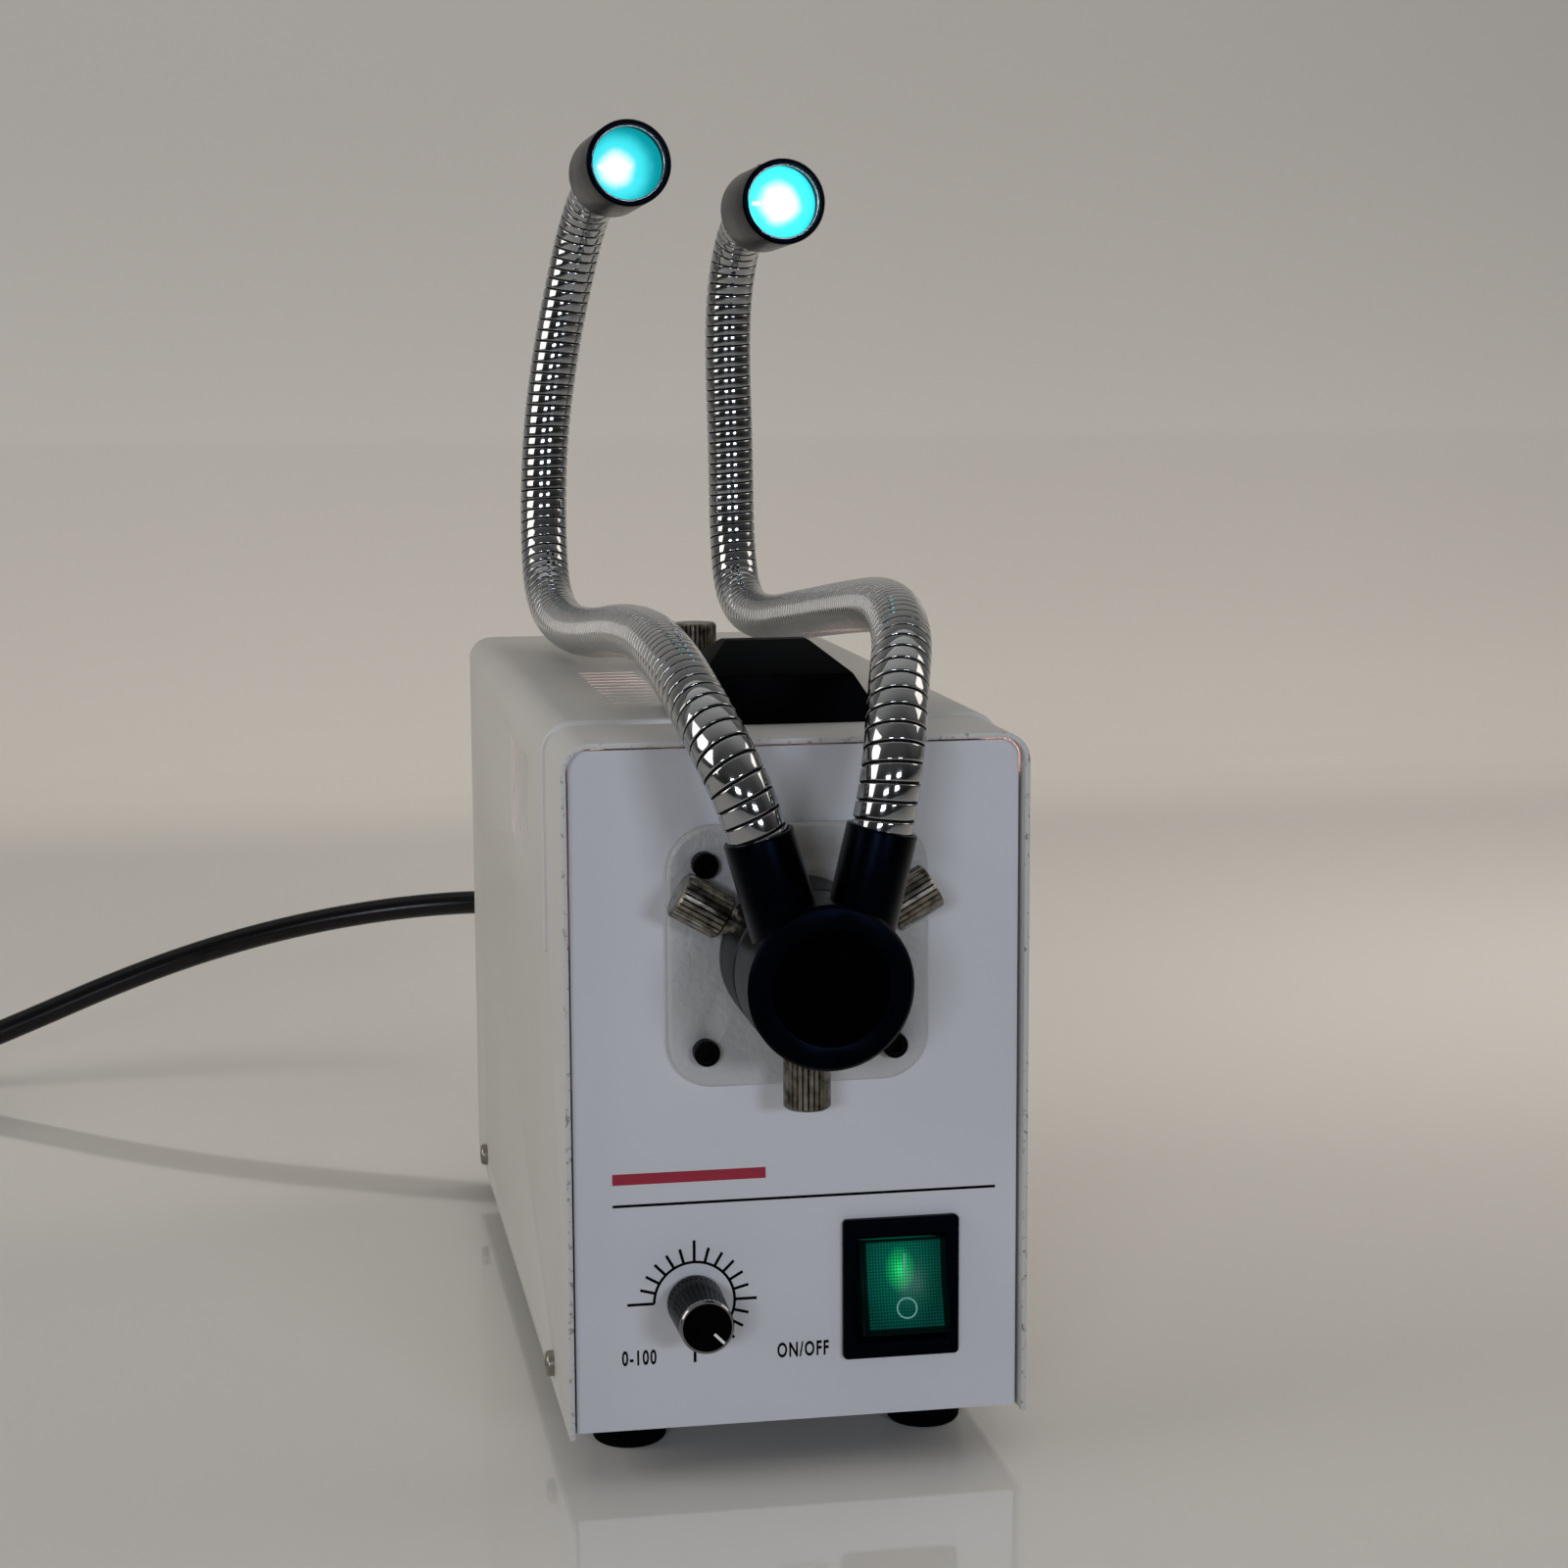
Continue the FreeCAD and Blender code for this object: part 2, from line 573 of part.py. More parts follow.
def make_thumbscrew(angle):
    """Knurled clamp screw; its tip stops just short of the ferrule."""
    a = math.radians(angle)
    axis = V(math.cos(a), 0, math.sin(a))
    base = V(0, yd(THUMB_DEPTH), PORT_Z)

    def at(r):
        return tuple(base + axis * r)

    shank = rod(at(FERRULE_R + 0.35), tuple(axis), THUMB_SHANK_R, 9.0)
    neck = rod(at(18.4), tuple(axis), 2.9, 1.8)
    head = knurled(at(20.0), tuple(axis), 5.0, 11.0, 26, 0.38)
    return union([head, neck, shank])


def make_hub():
    """Hub of the light guide, bored for the two sockets and the front cap."""
    profile = [(FERRULE_R, yd(HUB_BACK)), (HUB_R - 0.6, yd(HUB_BACK)), (HUB_R, yd(HUB_BACK + 0.6) - 1.2),
               (HUB_R, yd(HUB_FRONT) + 0.7), (HUB_R - 0.7, yd(HUB_FRONT)), (CAP_R, yd(HUB_FRONT)),
               (CAP_R, yd(HUB_FRONT) + 3.0), (0, yd(HUB_FRONT) + 3.0), (0, yd(HUB_BACK) - FERRULE_SEAT),
               (FERRULE_R, yd(HUB_BACK) - FERRULE_SEAT)]
    hub = revolve_y(profile, (0, PORT_Z))
    for side in (-1, 1):
        foot, axis = socket_axis(side)
        hub = hub.cut(Part.makeCylinder(SOCKET_R, 40, foot + axis * SOCKET_IN, axis))
    return hub


def make_hub_cap():
    """Round cap let into the hub's front, slightly below its rim."""
    cap = rod((0, yd(HUB_FRONT) + 0.5, PORT_Z), (0, 1, 0), CAP_R - RUNNING_GAP, 2.5)
    cap = cap.makeFillet(0.3, [e for e in cap.Edges if e.CenterOfMass.y < yd(HUB_FRONT) + 1])
    for side in (-1, 1):
        foot, axis = socket_axis(side)
        cap = cap.cut(Part.makeCylinder(SOCKET_R, 40, foot + axis * SOCKET_IN, axis))
    return cap


def make_ferrule():
    """Steel ferrule of the light guide, bored for the fibre bundle."""
    tube = rod((0, yd(HUB_BACK) - FERRULE_SEAT, PORT_Z), (0, 1, 0), FERRULE_R, 32.0)
    tube = tube.makeChamfer(0.6, [e for e in tube.Edges if e.CenterOfMass.y > yd(10)])
    return tube.cut(rod((0, yd(HUB_BACK) - FERRULE_SEAT - 1.0, PORT_Z), (0, 1, 0), BUNDLE_R, 40.0))


def make_bundle():
    """Common end of the fibre bundle inside the ferrule."""
    return rod((0, yd(HUB_BACK) - FERRULE_SEAT, PORT_Z), (0, 1, 0), BUNDLE_R, 31.6)


def make_socket(side):
    """Black tube on the hub that grips the end of one hose."""
    foot, axis = socket_axis(side)
    outer = Part.makeCylinder(SOCKET_R, SOCKET_OUT - SOCKET_IN, foot + axis * SOCKET_IN, axis)
    outer = outer.makeChamfer(0.3, [e for e in outer.Edges if e.Curve.TypeId == "Part::GeomCircle"
                                    and (e.CenterOfMass - foot).Length > 20])
    return outer.cut(Part.makeCylinder(HOSE_R, 15, foot + axis * 20, axis))


# --- Goosenecks ------------------------------------------------------------

def run_middle(route, i):
    """Middle of run i, and the direction of the run."""
    a, b = V(*route[i]), V(*route[i + 1])
    return (a + b) * 0.5, (b - a).normalize()


def cut_path(route, first, last, name):
    """Rounded path between the middles of two runs; None means a true end."""
    points = [V(*p) for p in route]
    start = points[0] if first is None else run_middle(route, first)[0]
    end = points[-1] if last is None else run_middle(route, last)[0]
    lo = 1 if first is None else first + 1
    hi = len(points) - 1 if last is None else last + 1
    chosen = [start] + points[lo:hi] + [end]
    return rounded_path([tuple(p) for p in chosen], name)


def hose_piece(route, first, last, name):
    """One stretch of hose: a ball at its far end, a hollow cup at its near end."""
    hose = tube_on(cut_path(route, first, last, name), HOSE_R, name)
    if first is not None:
        pivot = run_middle(route, first)[0]
        hose = hose.cut(Part.makeSphere(HOSE_R + BALL_GAP, pivot))
    end = V(*route[-1]) if last is None else run_middle(route, last)[0]
    return hose.fuse(Part.makeSphere(HOSE_R, end)).removeSplitter()


def turned(profile, origin, aim):
    """Solid turned about an aimed axis; the profile is a list of (radius, distance)."""
    points = [V(r, 0, d) for r, d in profile]
    solid = Part.Face(Part.makePolygon(points + [points[0]])).revolve(V(0, 0, 0), V(0, 0, 1), 360)
    solid.Placement = FreeCAD.Placement(V(*origin), FreeCAD.Rotation(V(0, 0, 1), V(*aim)))
    return solid


def make_barrel(route, aim):
    """Lens barrel with a cup for the hose's ball, a light bore and a lens seat."""
    profile = [(4.5, 1.2), (9.6, 1.2), (BARREL_R, 2.6), (BARREL_R, BARREL_LEN - 0.5),
               (BARREL_R - 0.5, BARREL_LEN), (9.7, BARREL_LEN), (9.7, 20.0), (4.5, 17.0)]
    barrel = turned(profile, route[-1], aim)
    return barrel.cut(Part.makeSphere(HOSE_R + BALL_GAP, V(*route[-1])))


def make_lens(route, aim):
    """Plano-convex focusing lens, 19 mm across, seated in the barrel."""
    profile = [(0, 21.5), (9.5, 21.5), (9.5, 23.2)]
    sag = 2.2
    radius = (9.5 ** 2 + sag ** 2) / (2 * sag)
    centre = 23.2 + sag - radius
    for i in range(1, 8):
        a = math.asin(9.5 / radius) * (1 - i / 7.0)
        profile.append((radius * math.sin(a), centre + radius * math.cos(a)))
    return turned(profile, route[-1], aim)


# --- Brightness knob and switch ---------------------------------------------

KNOB_R = 6.1
KNOB_BACK = 1.9
KNOB_FRONT = -15.0
BUSH_R = 3.1
SHAFT_R = 2.0
SHAFT_TIP = -12.0


def make_pot():
    """Dimmer potentiometer behind the panel with its threaded bush."""
    can = rod((DIAL_X, yd(STEEL_Y + STEEL_T + 0.3), DIAL_Z), (0, 1, 0), 8.2, 9.0)
    bush = rod((DIAL_X, yd(-0.2), DIAL_Z), (0, 1, 0), BUSH_R, 5.4)
    board = box(DIAL_X - 7, DIAL_X + 7, yd(STEEL_Y + STEEL_T + 3), yd(STEEL_Y + STEEL_T + 4.5),
                DIAL_Z - 17, DIAL_Z - 3)
    pot = union([can, bush, board])
    return pot.cut(rod((DIAL_X, yd(-2), DIAL_Z), (0, 1, 0), SHAFT_R + RUNNING_GAP, 12))


def make_pot_nut():
    """Hexagon nut that clamps the potentiometer to the panel."""
    points = [V(DIAL_X + 4.5 * math.cos(math.radians(60 * k)), yd(OVERLAY_Y - 2.0),
                DIAL_Z + 4.5 * math.sin(math.radians(60 * k))) for k in range(7)]
    nut = Part.Face(Part.makePolygon(points)).extrude(V(0, 2.0, 0))
    return nut.cut(rod((DIAL_X, yd(0), DIAL_Z), (0, 1, 0), BUSH_R, 5))


def make_pot_shaft():
    """Shaft that the knob turns."""
    return rod((DIAL_X, yd(SHAFT_TIP), DIAL_Z), (0, 1, 0), SHAFT_R, 21.0)


POINTER_ANGLE = -45.0
KNOB_RIBS = 36


def make_knob():
    """Ribbed knob with a recess for the nut and a pointer groove."""
    profile = [(5.2, yd(KNOB_BACK)), (KNOB_R, yd(KNOB_BACK)), (KNOB_R - 0.35, yd(KNOB_FRONT + 1.2)),
               (KNOB_R - 0.9, yd(KNOB_FRONT + 1.2)), (KNOB_R - 0.9, yd(KNOB_FRONT)),
               (0, yd(KNOB_FRONT)), (0, yd(SHAFT_TIP)), (SHAFT_R, yd(SHAFT_TIP)), (SHAFT_R, yd(-0.6)),
               (5.2, yd(-0.6))]
    knob = revolve_y(profile, (DIAL_X, DIAL_Z))
    ribs = []
    for i in range(KNOB_RIBS):
        a = 2 * math.pi * i / KNOB_RIBS
        x = DIAL_X + (KNOB_R + 0.12) * math.cos(a)
        z = DIAL_Z + (KNOB_R + 0.12) * math.sin(a)
        ribs.append(rod((x, yd(KNOB_FRONT + 1.2), z), (0, 1, 0), 0.3, 14.0))
    knob = knob.cut(Part.makeCompound(ribs))
    a = math.radians(POINTER_ANGLE)
    groove = box(1.2, 6.0, yd(KNOB_FRONT - 1), yd(KNOB_FRONT + 0.3), -0.35, 0.35)
    groove.rotate(V(0, 0, 0), V(0, -1, 0), math.degrees(a))
    groove.translate(V(DIAL_X, 0, DIAL_Z))
    return knob.cut(groove)


def make_knob_ring():
    """Bright ring round the front edge of the knob."""
    profile = [(KNOB_R - 0.9, yd(KNOB_FRONT)), (KNOB_R - 0.6, yd(KNOB_FRONT)),
               (KNOB_R - 0.35, yd(KNOB_FRONT + 0.3)), (KNOB_R - 0.35, yd(KNOB_FRONT + 1.2)),
               (KNOB_R - 0.9, yd(KNOB_FRONT + 1.2))]
    return revolve_y(profile, (DIAL_X, DIAL_Z))


BEZEL_W = 25.5
BEZEL_H = 31.0
BEZEL_T = 2.0
SWITCH_BODY_W = 21.6
SWITCH_BODY_H = 27.8
BEZEL_SLOPE = 0.35
WELL_HALF_W = 9.8
WELL_HALF_H = 11.7
WELL_BACK = 19.0
ROCKER_HALF_W = 9.45
ROCKER_PIVOT = 3.1
ROCKER_VALLEY = 4.95
ROCKER_FACE = 10.2
ROCKER_LEAN = 4.3
ROCKER_TRAVEL = 30.0
ROCKER_BACK = 4.0
PIN_R = 1.25
PIN_HALF = 10.3


def make_switch_housing():
    """Snap-in switch housing with bezel, rocker well and four terminals."""
    face = OVERLAY_Y - BEZEL_T
    bezel = plate_xz(SWITCH_X - BEZEL_W / 2, SWITCH_X + BEZEL_W / 2, SWITCH_Z - BEZEL_H / 2,
                     SWITCH_Z + BEZEL_H / 2, yd(face), yd(OVERLAY_Y), 1.0)
    front = [e for e in bezel.Edges if abs(e.CenterOfMass.y - yd(face)) < 1e-6]
    bezel = bezel.makeFillet(0.7, front)
    body = box(SWITCH_X - SWITCH_BODY_W / 2, SWITCH_X + SWITCH_BODY_W / 2, yd(OVERLAY_Y), yd(WELL_BACK + 3),
               SWITCH_Z - SWITCH_BODY_H / 2, SWITCH_Z + SWITCH_BODY_H / 2)
    well = box(SWITCH_X - WELL_HALF_W, SWITCH_X + WELL_HALF_W, yd(-1), yd(WELL_BACK),
               SWITCH_Z - WELL_HALF_H, SWITCH_Z + WELL_HALF_H)
    mouth = []
    for depth, grow in ((face - 0.5, BEZEL_SLOPE + 0.5), (face + BEZEL_SLOPE, 0.0)):
        half_w, half_h = WELL_HALF_W + grow, WELL_HALF_H + grow
        corners = [V(SWITCH_X + sx * half_w, yd(depth), SWITCH_Z + sz * half_h)
                   for sx, sz in ((-1, -1), (1, -1), (1, 1), (-1, 1), (-1, -1))]
        mouth.append(Part.makePolygon(corners))
    housing = bezel.fuse(body).cut(well).cut(Part.makeLoft(mouth, True, True))
    bore_half = PIN_HALF + 0.2
    start = (SWITCH_X - bore_half, yd(ROCKER_PIVOT), SWITCH_Z)
    housing = housing.cut(rod(start, (1, 0, 0), PIN_R + RUNNING_GAP, 2 * bore_half))
    for sx in (-1, 1):
        for sz in (-1, 1):
            x, z = SWITCH_X + sx * 4.6, SWITCH_Z + sz * 7.0
            blade = box(x - 0.4, x + 0.4, yd(WELL_BACK + 2), yd(WELL_BACK + 12), z - 3.15, z + 3.15)
            housing = housing.fuse(blade)
    return housing.removeSplitter()


def make_rocker():
    """Rocker with two faces that meet in a shallow valley, lying ON: lower half proud."""
    lean = math.radians(ROCKER_LEAN)
    tip_y = -ROCKER_VALLEY - ROCKER_FACE * math.sin(lean)
    tip_z = ROCKER_FACE * math.cos(lean)
    outline = [V(0, -ROCKER_VALLEY, 0), V(0, tip_y, tip_z), V(0, ROCKER_BACK, tip_z),
               V(0, ROCKER_BACK, -tip_z), V(0, tip_y, -tip_z), V(0, -ROCKER_VALLEY, 0)]
    cap = Part.Face(Part.makePolygon(outline)).extrude(V(2 * ROCKER_HALF_W, 0, 0))
    cap.translate(V(-ROCKER_HALF_W, 0, 0))
    pins = rod((-PIN_HALF, 0, 0), (1, 0, 0), PIN_R, 2 * PIN_HALF)
    lever = box(-3, 3, ROCKER_BACK - 0.5, 9.0, -2, 2)
    rocker = union([cap, pins, lever])
    rocker.rotate(V(0, 0, 0), V(1, 0, 0), -ROCKER_TRAVEL / 2)
    rocker.translate(V(SWITCH_X, yd(ROCKER_PIVOT), SWITCH_Z))
    return rocker


# --- Inside: lamp, filter, deck, post ----------------------------------------

DECK_Z = 69.0
FILTER_Y = 16.0
LAMP_Y = 62.0
FLOOR_TOP = PANEL_BOTTOM + STEEL_T


def make_deck():
    """Bent deck with its filter wall and cover post, above the electrics."""
    top = box(-46.2, 46.2, yd(8), yd(196), DECK_Z, DECK_Z + 1.2)
    legs = [box(sx * 45.6 - 0.6, sx * 45.6 + 0.6, yd(62), yd(196), FLOOR_TOP, DECK_Z) for sx in (-1, 1)]
    deck = union([top] + legs + [bracket(FILTER_Y, 26.0, 142.0, 15.0, 19.1), cover_post()])
    vents = [box(-20, 20, yd(156 + 8 * k), yd(160 + 8 * k), DECK_Z - 1, DECK_Z + 2) for k in range(4)]
    vents.append(rod((0, yd(TOP_SCREW_DEPTH), 140), (0, 0, 1), TOP_SHANK_R + RUNNING_GAP, 30))
    return deck.cut(Part.makeCompound(vents))


def bracket(y, half_w, top, opening, lip):
    """L bracket on the deck with a round opening on the light axis."""
    wall = box(-half_w, half_w, yd(y), yd(y + 1.2), DECK_Z + 1.2, top)
    wall = wall.makeFillet(6, edges_along(wall, (0, 1, 0), lambda c: c.z > top - 1))
    foot = box(-half_w, half_w, yd(y + 1.2), yd(y + 13), DECK_Z + 1.2, DECK_Z + 2.4)
    if lip > 0:
        ring = rod((0, yd(y + 1.2), PORT_Z), (0, 1, 0), lip + 1.6, 4.0)
        ring = ring.cut(rod((0, yd(y + 1.2), PORT_Z), (0, 1, 0), lip, 5.0))
        wall = wall.fuse(ring)
    return union([wall, foot]).cut(rod((0, yd(y - 1), PORT_Z), (0, 1, 0), opening, 4))


def make_filter_glass():
    """Heat absorbing filter disc."""
    return rod((0, yd(FILTER_Y + 1.2), PORT_Z), (0, 1, 0), 19.0, 3.0)


def make_reflector():
    """Dichroic glass reflector, 50 mm across, opening towards the port."""
    outer = [(25.0, 0.0), (25.0, 2.0), (22.5, 7.0), (18.0, 15.0), (13.0, 22.0), (9.0, 27.0), (7.5, 30.0),
             (7.5, 42.0)]
    inner = [(4.2, 42.0), (4.2, 30.0), (7.0, 25.6), (11.5, 20.4), (16.6, 13.6), (21.2, 5.6), (23.2, 1.2),
             (23.2, 0.0)]
    return revolve_y([(r, yd(LAMP_Y + d)) for r, d in outer + inner], (0, PORT_Z))


def make_capsule():
    """Quartz halogen capsule with its two pins."""
    profile = [(0, 8.0), (1.6, 8.6), (4.2, 11.5), (4.6, 14.0), (4.6, 22.0), (3.6, 26.0), (3.6, 40.0),
               (0, 40.0)]
    bulb = revolve_y([(r, yd(LAMP_Y + d)) for r, d in profile], (0, PORT_Z))
    pins = [rod((sx * 2.65, yd(LAMP_Y + 38), PORT_Z), (0, 1, 0), 0.6, 12) for sx in (-1, 1)]
    return union([bulb] + pins)


def make_lamp_socket():
    """Ceramic lamp socket on the capsule's pins."""
    block = box(-9, 9, yd(LAMP_Y + 42.4), yd(LAMP_Y + 56), PORT_Z - 6, PORT_Z + 6)
    block = block.makeFillet(1.5, edges_along(block, (0, 1, 0)))
    return block.cut(Part.makeCompound(
        [rod((sx * 2.65, yd(LAMP_Y + 42), PORT_Z), (0, 1, 0), 0.62, 9) for sx in (-1, 1)]))


def cover_post():
    """Post bent up from the deck, with a nut for the top thumb screw."""
    y = yd(TOP_SCREW_DEPTH)
    top = TOP_Z - SHEET - 0.2
    wall = box(-8, 8, y - 8, y - 6.8, DECK_Z + 1.2, top)
    head = box(-8, 8, y - 8, y + 6, top - 1.6, top)
    foot = box(-8, 8, y - 8, y + 4, DECK_Z + 1.2, DECK_Z + 2.4)
    nut = rod((0, y, top - 6), (0, 0, 1), 4.2, 4.5)
    return union([wall, head, foot, nut])


# --- Inside: transformer and dimmer -------------------------------------------

CORE_Y = 84.0


def make_core():
    """Laminated transformer core with a window on each side of the middle leg."""
    core = box(-34, 34, yd(CORE_Y), yd(CORE_Y + 42), FLOOR_TOP + 1, FLOOR_TOP + 55)
    windows = []
    for sx in (-1, 1):
        x0, x1 = sorted((sx * 11.5, sx * 23.0))
        windows.append(box(x0, x1, yd(CORE_Y - 1), yd(CORE_Y + 43), FLOOR_TOP + 12, FLOOR_TOP + 44))
    feet = [box(sx * 38 - 6, sx * 38 + 6, yd(CORE_Y + 8), yd(CORE_Y + 34), FLOOR_TOP, FLOOR_TOP + 1.5)
            for sx in (-1, 1)]
    base = box(-34, 34, yd(CORE_Y + 8), yd(CORE_Y + 34), FLOOR_TOP, FLOOR_TOP + 1)
    return union([core, base] + feet).cut(Part.makeCompound(windows))


def make_winding():
    """Taped winding round the middle leg of the core."""
    outer = box(-22.6, 22.6, yd(CORE_Y - 11), yd(CORE_Y + 53), FLOOR_TOP + 12.4, FLOOR_TOP + 43.6)
    outer = outer.makeFillet(9, edges_along(outer, (0, 0, 1)))
    return outer.cut(box(-11.9, 11.9, yd(CORE_Y - 0.4), yd(CORE_Y + 42.4), FLOOR_TOP, FLOOR_TOP + 56))


BOARD_Y = 150.0


def make_board():
    """Dimmer circuit board on four spacers, with its soldered parts."""
    board = box(-38, 38, yd(BOARD_Y), yd(BOARD_Y + 52), FLOOR_TOP + 6, FLOOR_TOP + 7.6)
    posts = [rod((sx * 34, yd(BOARD_Y + 4 + 44 * k), FLOOR_TOP), (0, 0, 1), 2.5, 6)
             for sx in (-1, 1) for k in (0, 1)]
    z = FLOOR_TOP + 7.6
    film = box(-34, -16, yd(BOARD_Y + 8), yd(BOARD_Y + 16), z, z + 14)
    choke = rod((-22, yd(BOARD_Y + 32), z), (0, 0, 1), 9.0, 6.0)
    choke = choke.cut(rod((-22, yd(BOARD_Y + 32), z), (0, 0, 1), 3.5, 7.0))
    block = box(14, 34, yd(BOARD_Y + 38), yd(BOARD_Y + 47), z, z + 10)
    can = rod((0, yd(BOARD_Y + 12), z), (0, 0, 1), 4.0, 12)
    return union([board] + posts + [film, choke, block, can])


def make_heat_sink():
    """Aluminium triac heat sink with five fins."""
    z = FLOOR_TOP + 7.6
    back = box(10, 13, yd(BOARD_Y + 5), yd(BOARD_Y + 33), z, z + 30)
    fins = [box(13, 26, yd(BOARD_Y + 5 + 6.5 * k), yd(BOARD_Y + 7 + 6.5 * k), z, z + 30) for k in range(5)]
    return union([back] + fins)


# --- Fan ----------------------------------------------------------------------

FAN_Y = 214.0
FAN_T = 25.0
FAN_HALF = 40.0
FAN_SHAFT_R = 1.5
FAN_BLADES = 7
BLADE_TIP_R = 36.6
GUARD_T = 1.8
GUARD_RINGS = (11.0, 19.5, 28.0, 36.5)


def make_fan_frame():
    """Square fan frame with its bearing tube on four struts."""
    y0 = yd(FAN_Y)
    frame = box(-FAN_HALF, FAN_HALF, y0, y0 + FAN_T, FAN_Z - FAN_HALF, FAN_Z + FAN_HALF)
    frame = frame.makeFillet(4, edges_along(frame, (0, 1, 0)))
    frame = frame.cut(rod((0, y0 - 1, FAN_Z), (0, 1, 0), FAN_BORE, FAN_T + 2))
    boss = rod((0, y0, FAN_Z), (0, 1, 0), 15.0, 3.0)
    bearing = rod((0, y0, FAN_Z), (0, 1, 0), 4.0, 16.0)
    struts = []
    for k in range(4):
        a = 45 + 90 * k
        strut = box(10, 39, y0, y0 + 3, -2, 2)
        strut.rotate(V(0, 0, 0), V(0, 1, 0), a)
        strut.translate(V(0, 0, FAN_Z))
        struts.append(strut)
    frame = union([frame, boss, bearing] + struts)
    bore = rod((0, y0 - 1, FAN_Z), (0, 1, 0), FAN_SHAFT_R + RUNNING_GAP, FAN_T)
    return frame.cut(Part.makeCompound(fan_holes(y0 - 1, FAN_T + 2) + [bore]))


def make_fan_rotor():
    """Fan rotor: a hub cup on a shaft, with seven pitched blades."""
    y0 = yd(FAN_Y)
    cup = rod((0, y0 + 4.5, FAN_Z), (0, 1, 0), 16.0, 18.5)
    cup = cup.makeFillet(1.5, [e for e in cup.Edges if e.CenterOfMass.y > y0 + 20])
    cup = cup.cut(rod((0, y0 + 4, FAN_Z), (0, 1, 0), 13.5, 15.5))
    shaft = rod((0, y0 + 1, FAN_Z), (0, 1, 0), FAN_SHAFT_R, 20.0)
    parts = [cup, shaft]
    for k in range(FAN_BLADES):
        blade = box(15, BLADE_TIP_R, -7.5, 7.5, -0.9, 0.9)
        blade.rotate(V(0, 0, 0), V(1, 0, 0), 38)
        blade.translate(V(0, y0 + 13.7, 0))
        blade.rotate(V(0, 0, 0), V(0, 1, 0), 360.0 * k / FAN_BLADES)
        blade.translate(V(0, 0, FAN_Z))
        parts.append(blade)
    rotor = union(parts)
    return rotor.common(rod((0, y0, FAN_Z), (0, 1, 0), BLADE_TIP_R, FAN_T))


def make_fan_guard():
    """Wire finger guard on the rear panel."""
    y0 = yd(REAR_Y + STEEL_T)
    y1 = y0 + GUARD_T
    rings = [revolve_y([(r - 0.8, y0), (r + 0.8, y0), (r + 0.8, y1), (r - 0.8, y1)], (0, FAN_Z))
             for r in GUARD_RINGS]
    reach = FAN_HOLE * math.sqrt(2)
    bars = []
    for k in range(4):
        bar = box(0, reach, y0, y0 + GUARD_T, -0.9, 0.9)
        bar = bar.fuse(rod((reach, y0, 0), (0, 1, 0), 4.0, GUARD_T))
        bar.rotate(V(0, 0, 0), V(0, 1, 0), 45 + 90 * k)
        bar.translate(V(0, 0, FAN_Z))
        bars.append(bar)
    return union(rings + bars).cut(Part.makeCompound(fan_holes(y0 - 1, 4)))


def make_fan_screws():
    """Four long screws through guard, rear panel and fan frame."""
    screws = []
    for sx in (-1, 1):
        for sz in (-1, 1):
            start = (sx * FAN_HOLE, yd(REAR_Y + STEEL_T + GUARD_T), FAN_Z + sz * FAN_HOLE)
            screws.append(pan_screw(start, (0, -1, 0), 3.4, 2.1, FAN_SCREW_R, 30.0))
    return screws


# --- Fuse holder and mains cord -------------------------------------------------

FUSE_END = 251.3
FUSE_FLANGE_R = 8.5
FUSE_FLANGE_T = 2.4


def make_fuse_holder():
    """Panel fuse holder with its flange outside and its body inside."""
    y0 = yd(REAR_Y + STEEL_T)
    flange = rod((FUSE_X, y0, FUSE_Z), (0, 1, 0), FUSE_FLANGE_R, FUSE_FLANGE_T)
    body = rod((FUSE_X, y0 - 26, FUSE_Z), (0, 1, 0), FUSE_R, 26)
    nut = rod((FUSE_X, y0 - STEEL_T - 3, FUSE_Z), (0, 1, 0), FUSE_FLANGE_R, 3)
    tail = box(FUSE_X - 3.1, FUSE_X + 3.1, y0 - 33, y0 - 25.5, FUSE_Z - 0.4, FUSE_Z + 0.4)
    return union([flange, body, nut, tail])


def make_fuse_cap():
    """Screw cap of the fuse holder with a coin slot."""
    y0 = yd(REAR_Y + STEEL_T + FUSE_FLANGE_T)
    cap = rod((FUSE_X, y0, FUSE_Z), (0, 1, 0), 6.6, yd(FUSE_END) - y0)
    cap = cap.makeFillet(0.8, [e for e in cap.Edges if e.CenterOfMass.y > yd(FUSE_END) - 0.5])
    slot = box(FUSE_X - 4.5, FUSE_X + 4.5, yd(FUSE_END) - 1.4, yd(FUSE_END) + 1, FUSE_Z - 0.7, FUSE_Z + 0.7)
    return cap.cut(slot)


def make_strain_relief():
    """Moulded strain relief: clamp behind the panel and a ribbed taper outside."""
    y0 = yd(REAR_Y + STEEL_T)
    end = CORD_ROUTE[0][1]
    profile = [(0, y0 - 9), (7.5, y0 - 9), (7.5, y0 - STEEL_T), (6.3, y0 - STEEL_T), (6.3, y0), (9.0, y0),
               (9.0, y0 + 2.6), (7.4, y0 + 3.4)]
    length = end - (y0 + 3.4)
    ribs = 5
    for k in range(ribs):
        a = y0 + 3.4 + length * (k + 0.62) / ribs
        b = y0 + 3.4 + length * (k + 1.0) / ribs
        r = 7.4 - 2.2 * (k + 1) / ribs
        if k < ribs - 1:
            profile += [(r, a), (r - 1.0, a + 0.2), (r - 1.0, b - 0.2), (r, b)]
    profile += [(CORD_R + 1.0, end), (0, end)]
    return revolve_y(profile, (CORD_X, CORD_Z))


COIL_SECTION_IN = COIL_MEAN_R - 3 * CORD_R
COIL_SECTION_OUT = COIL_MEAN_R + 3 * CORD_R
TIE_T = 0.9
TIE_ANGLE = 235.0
PLUG_Y = 182.0


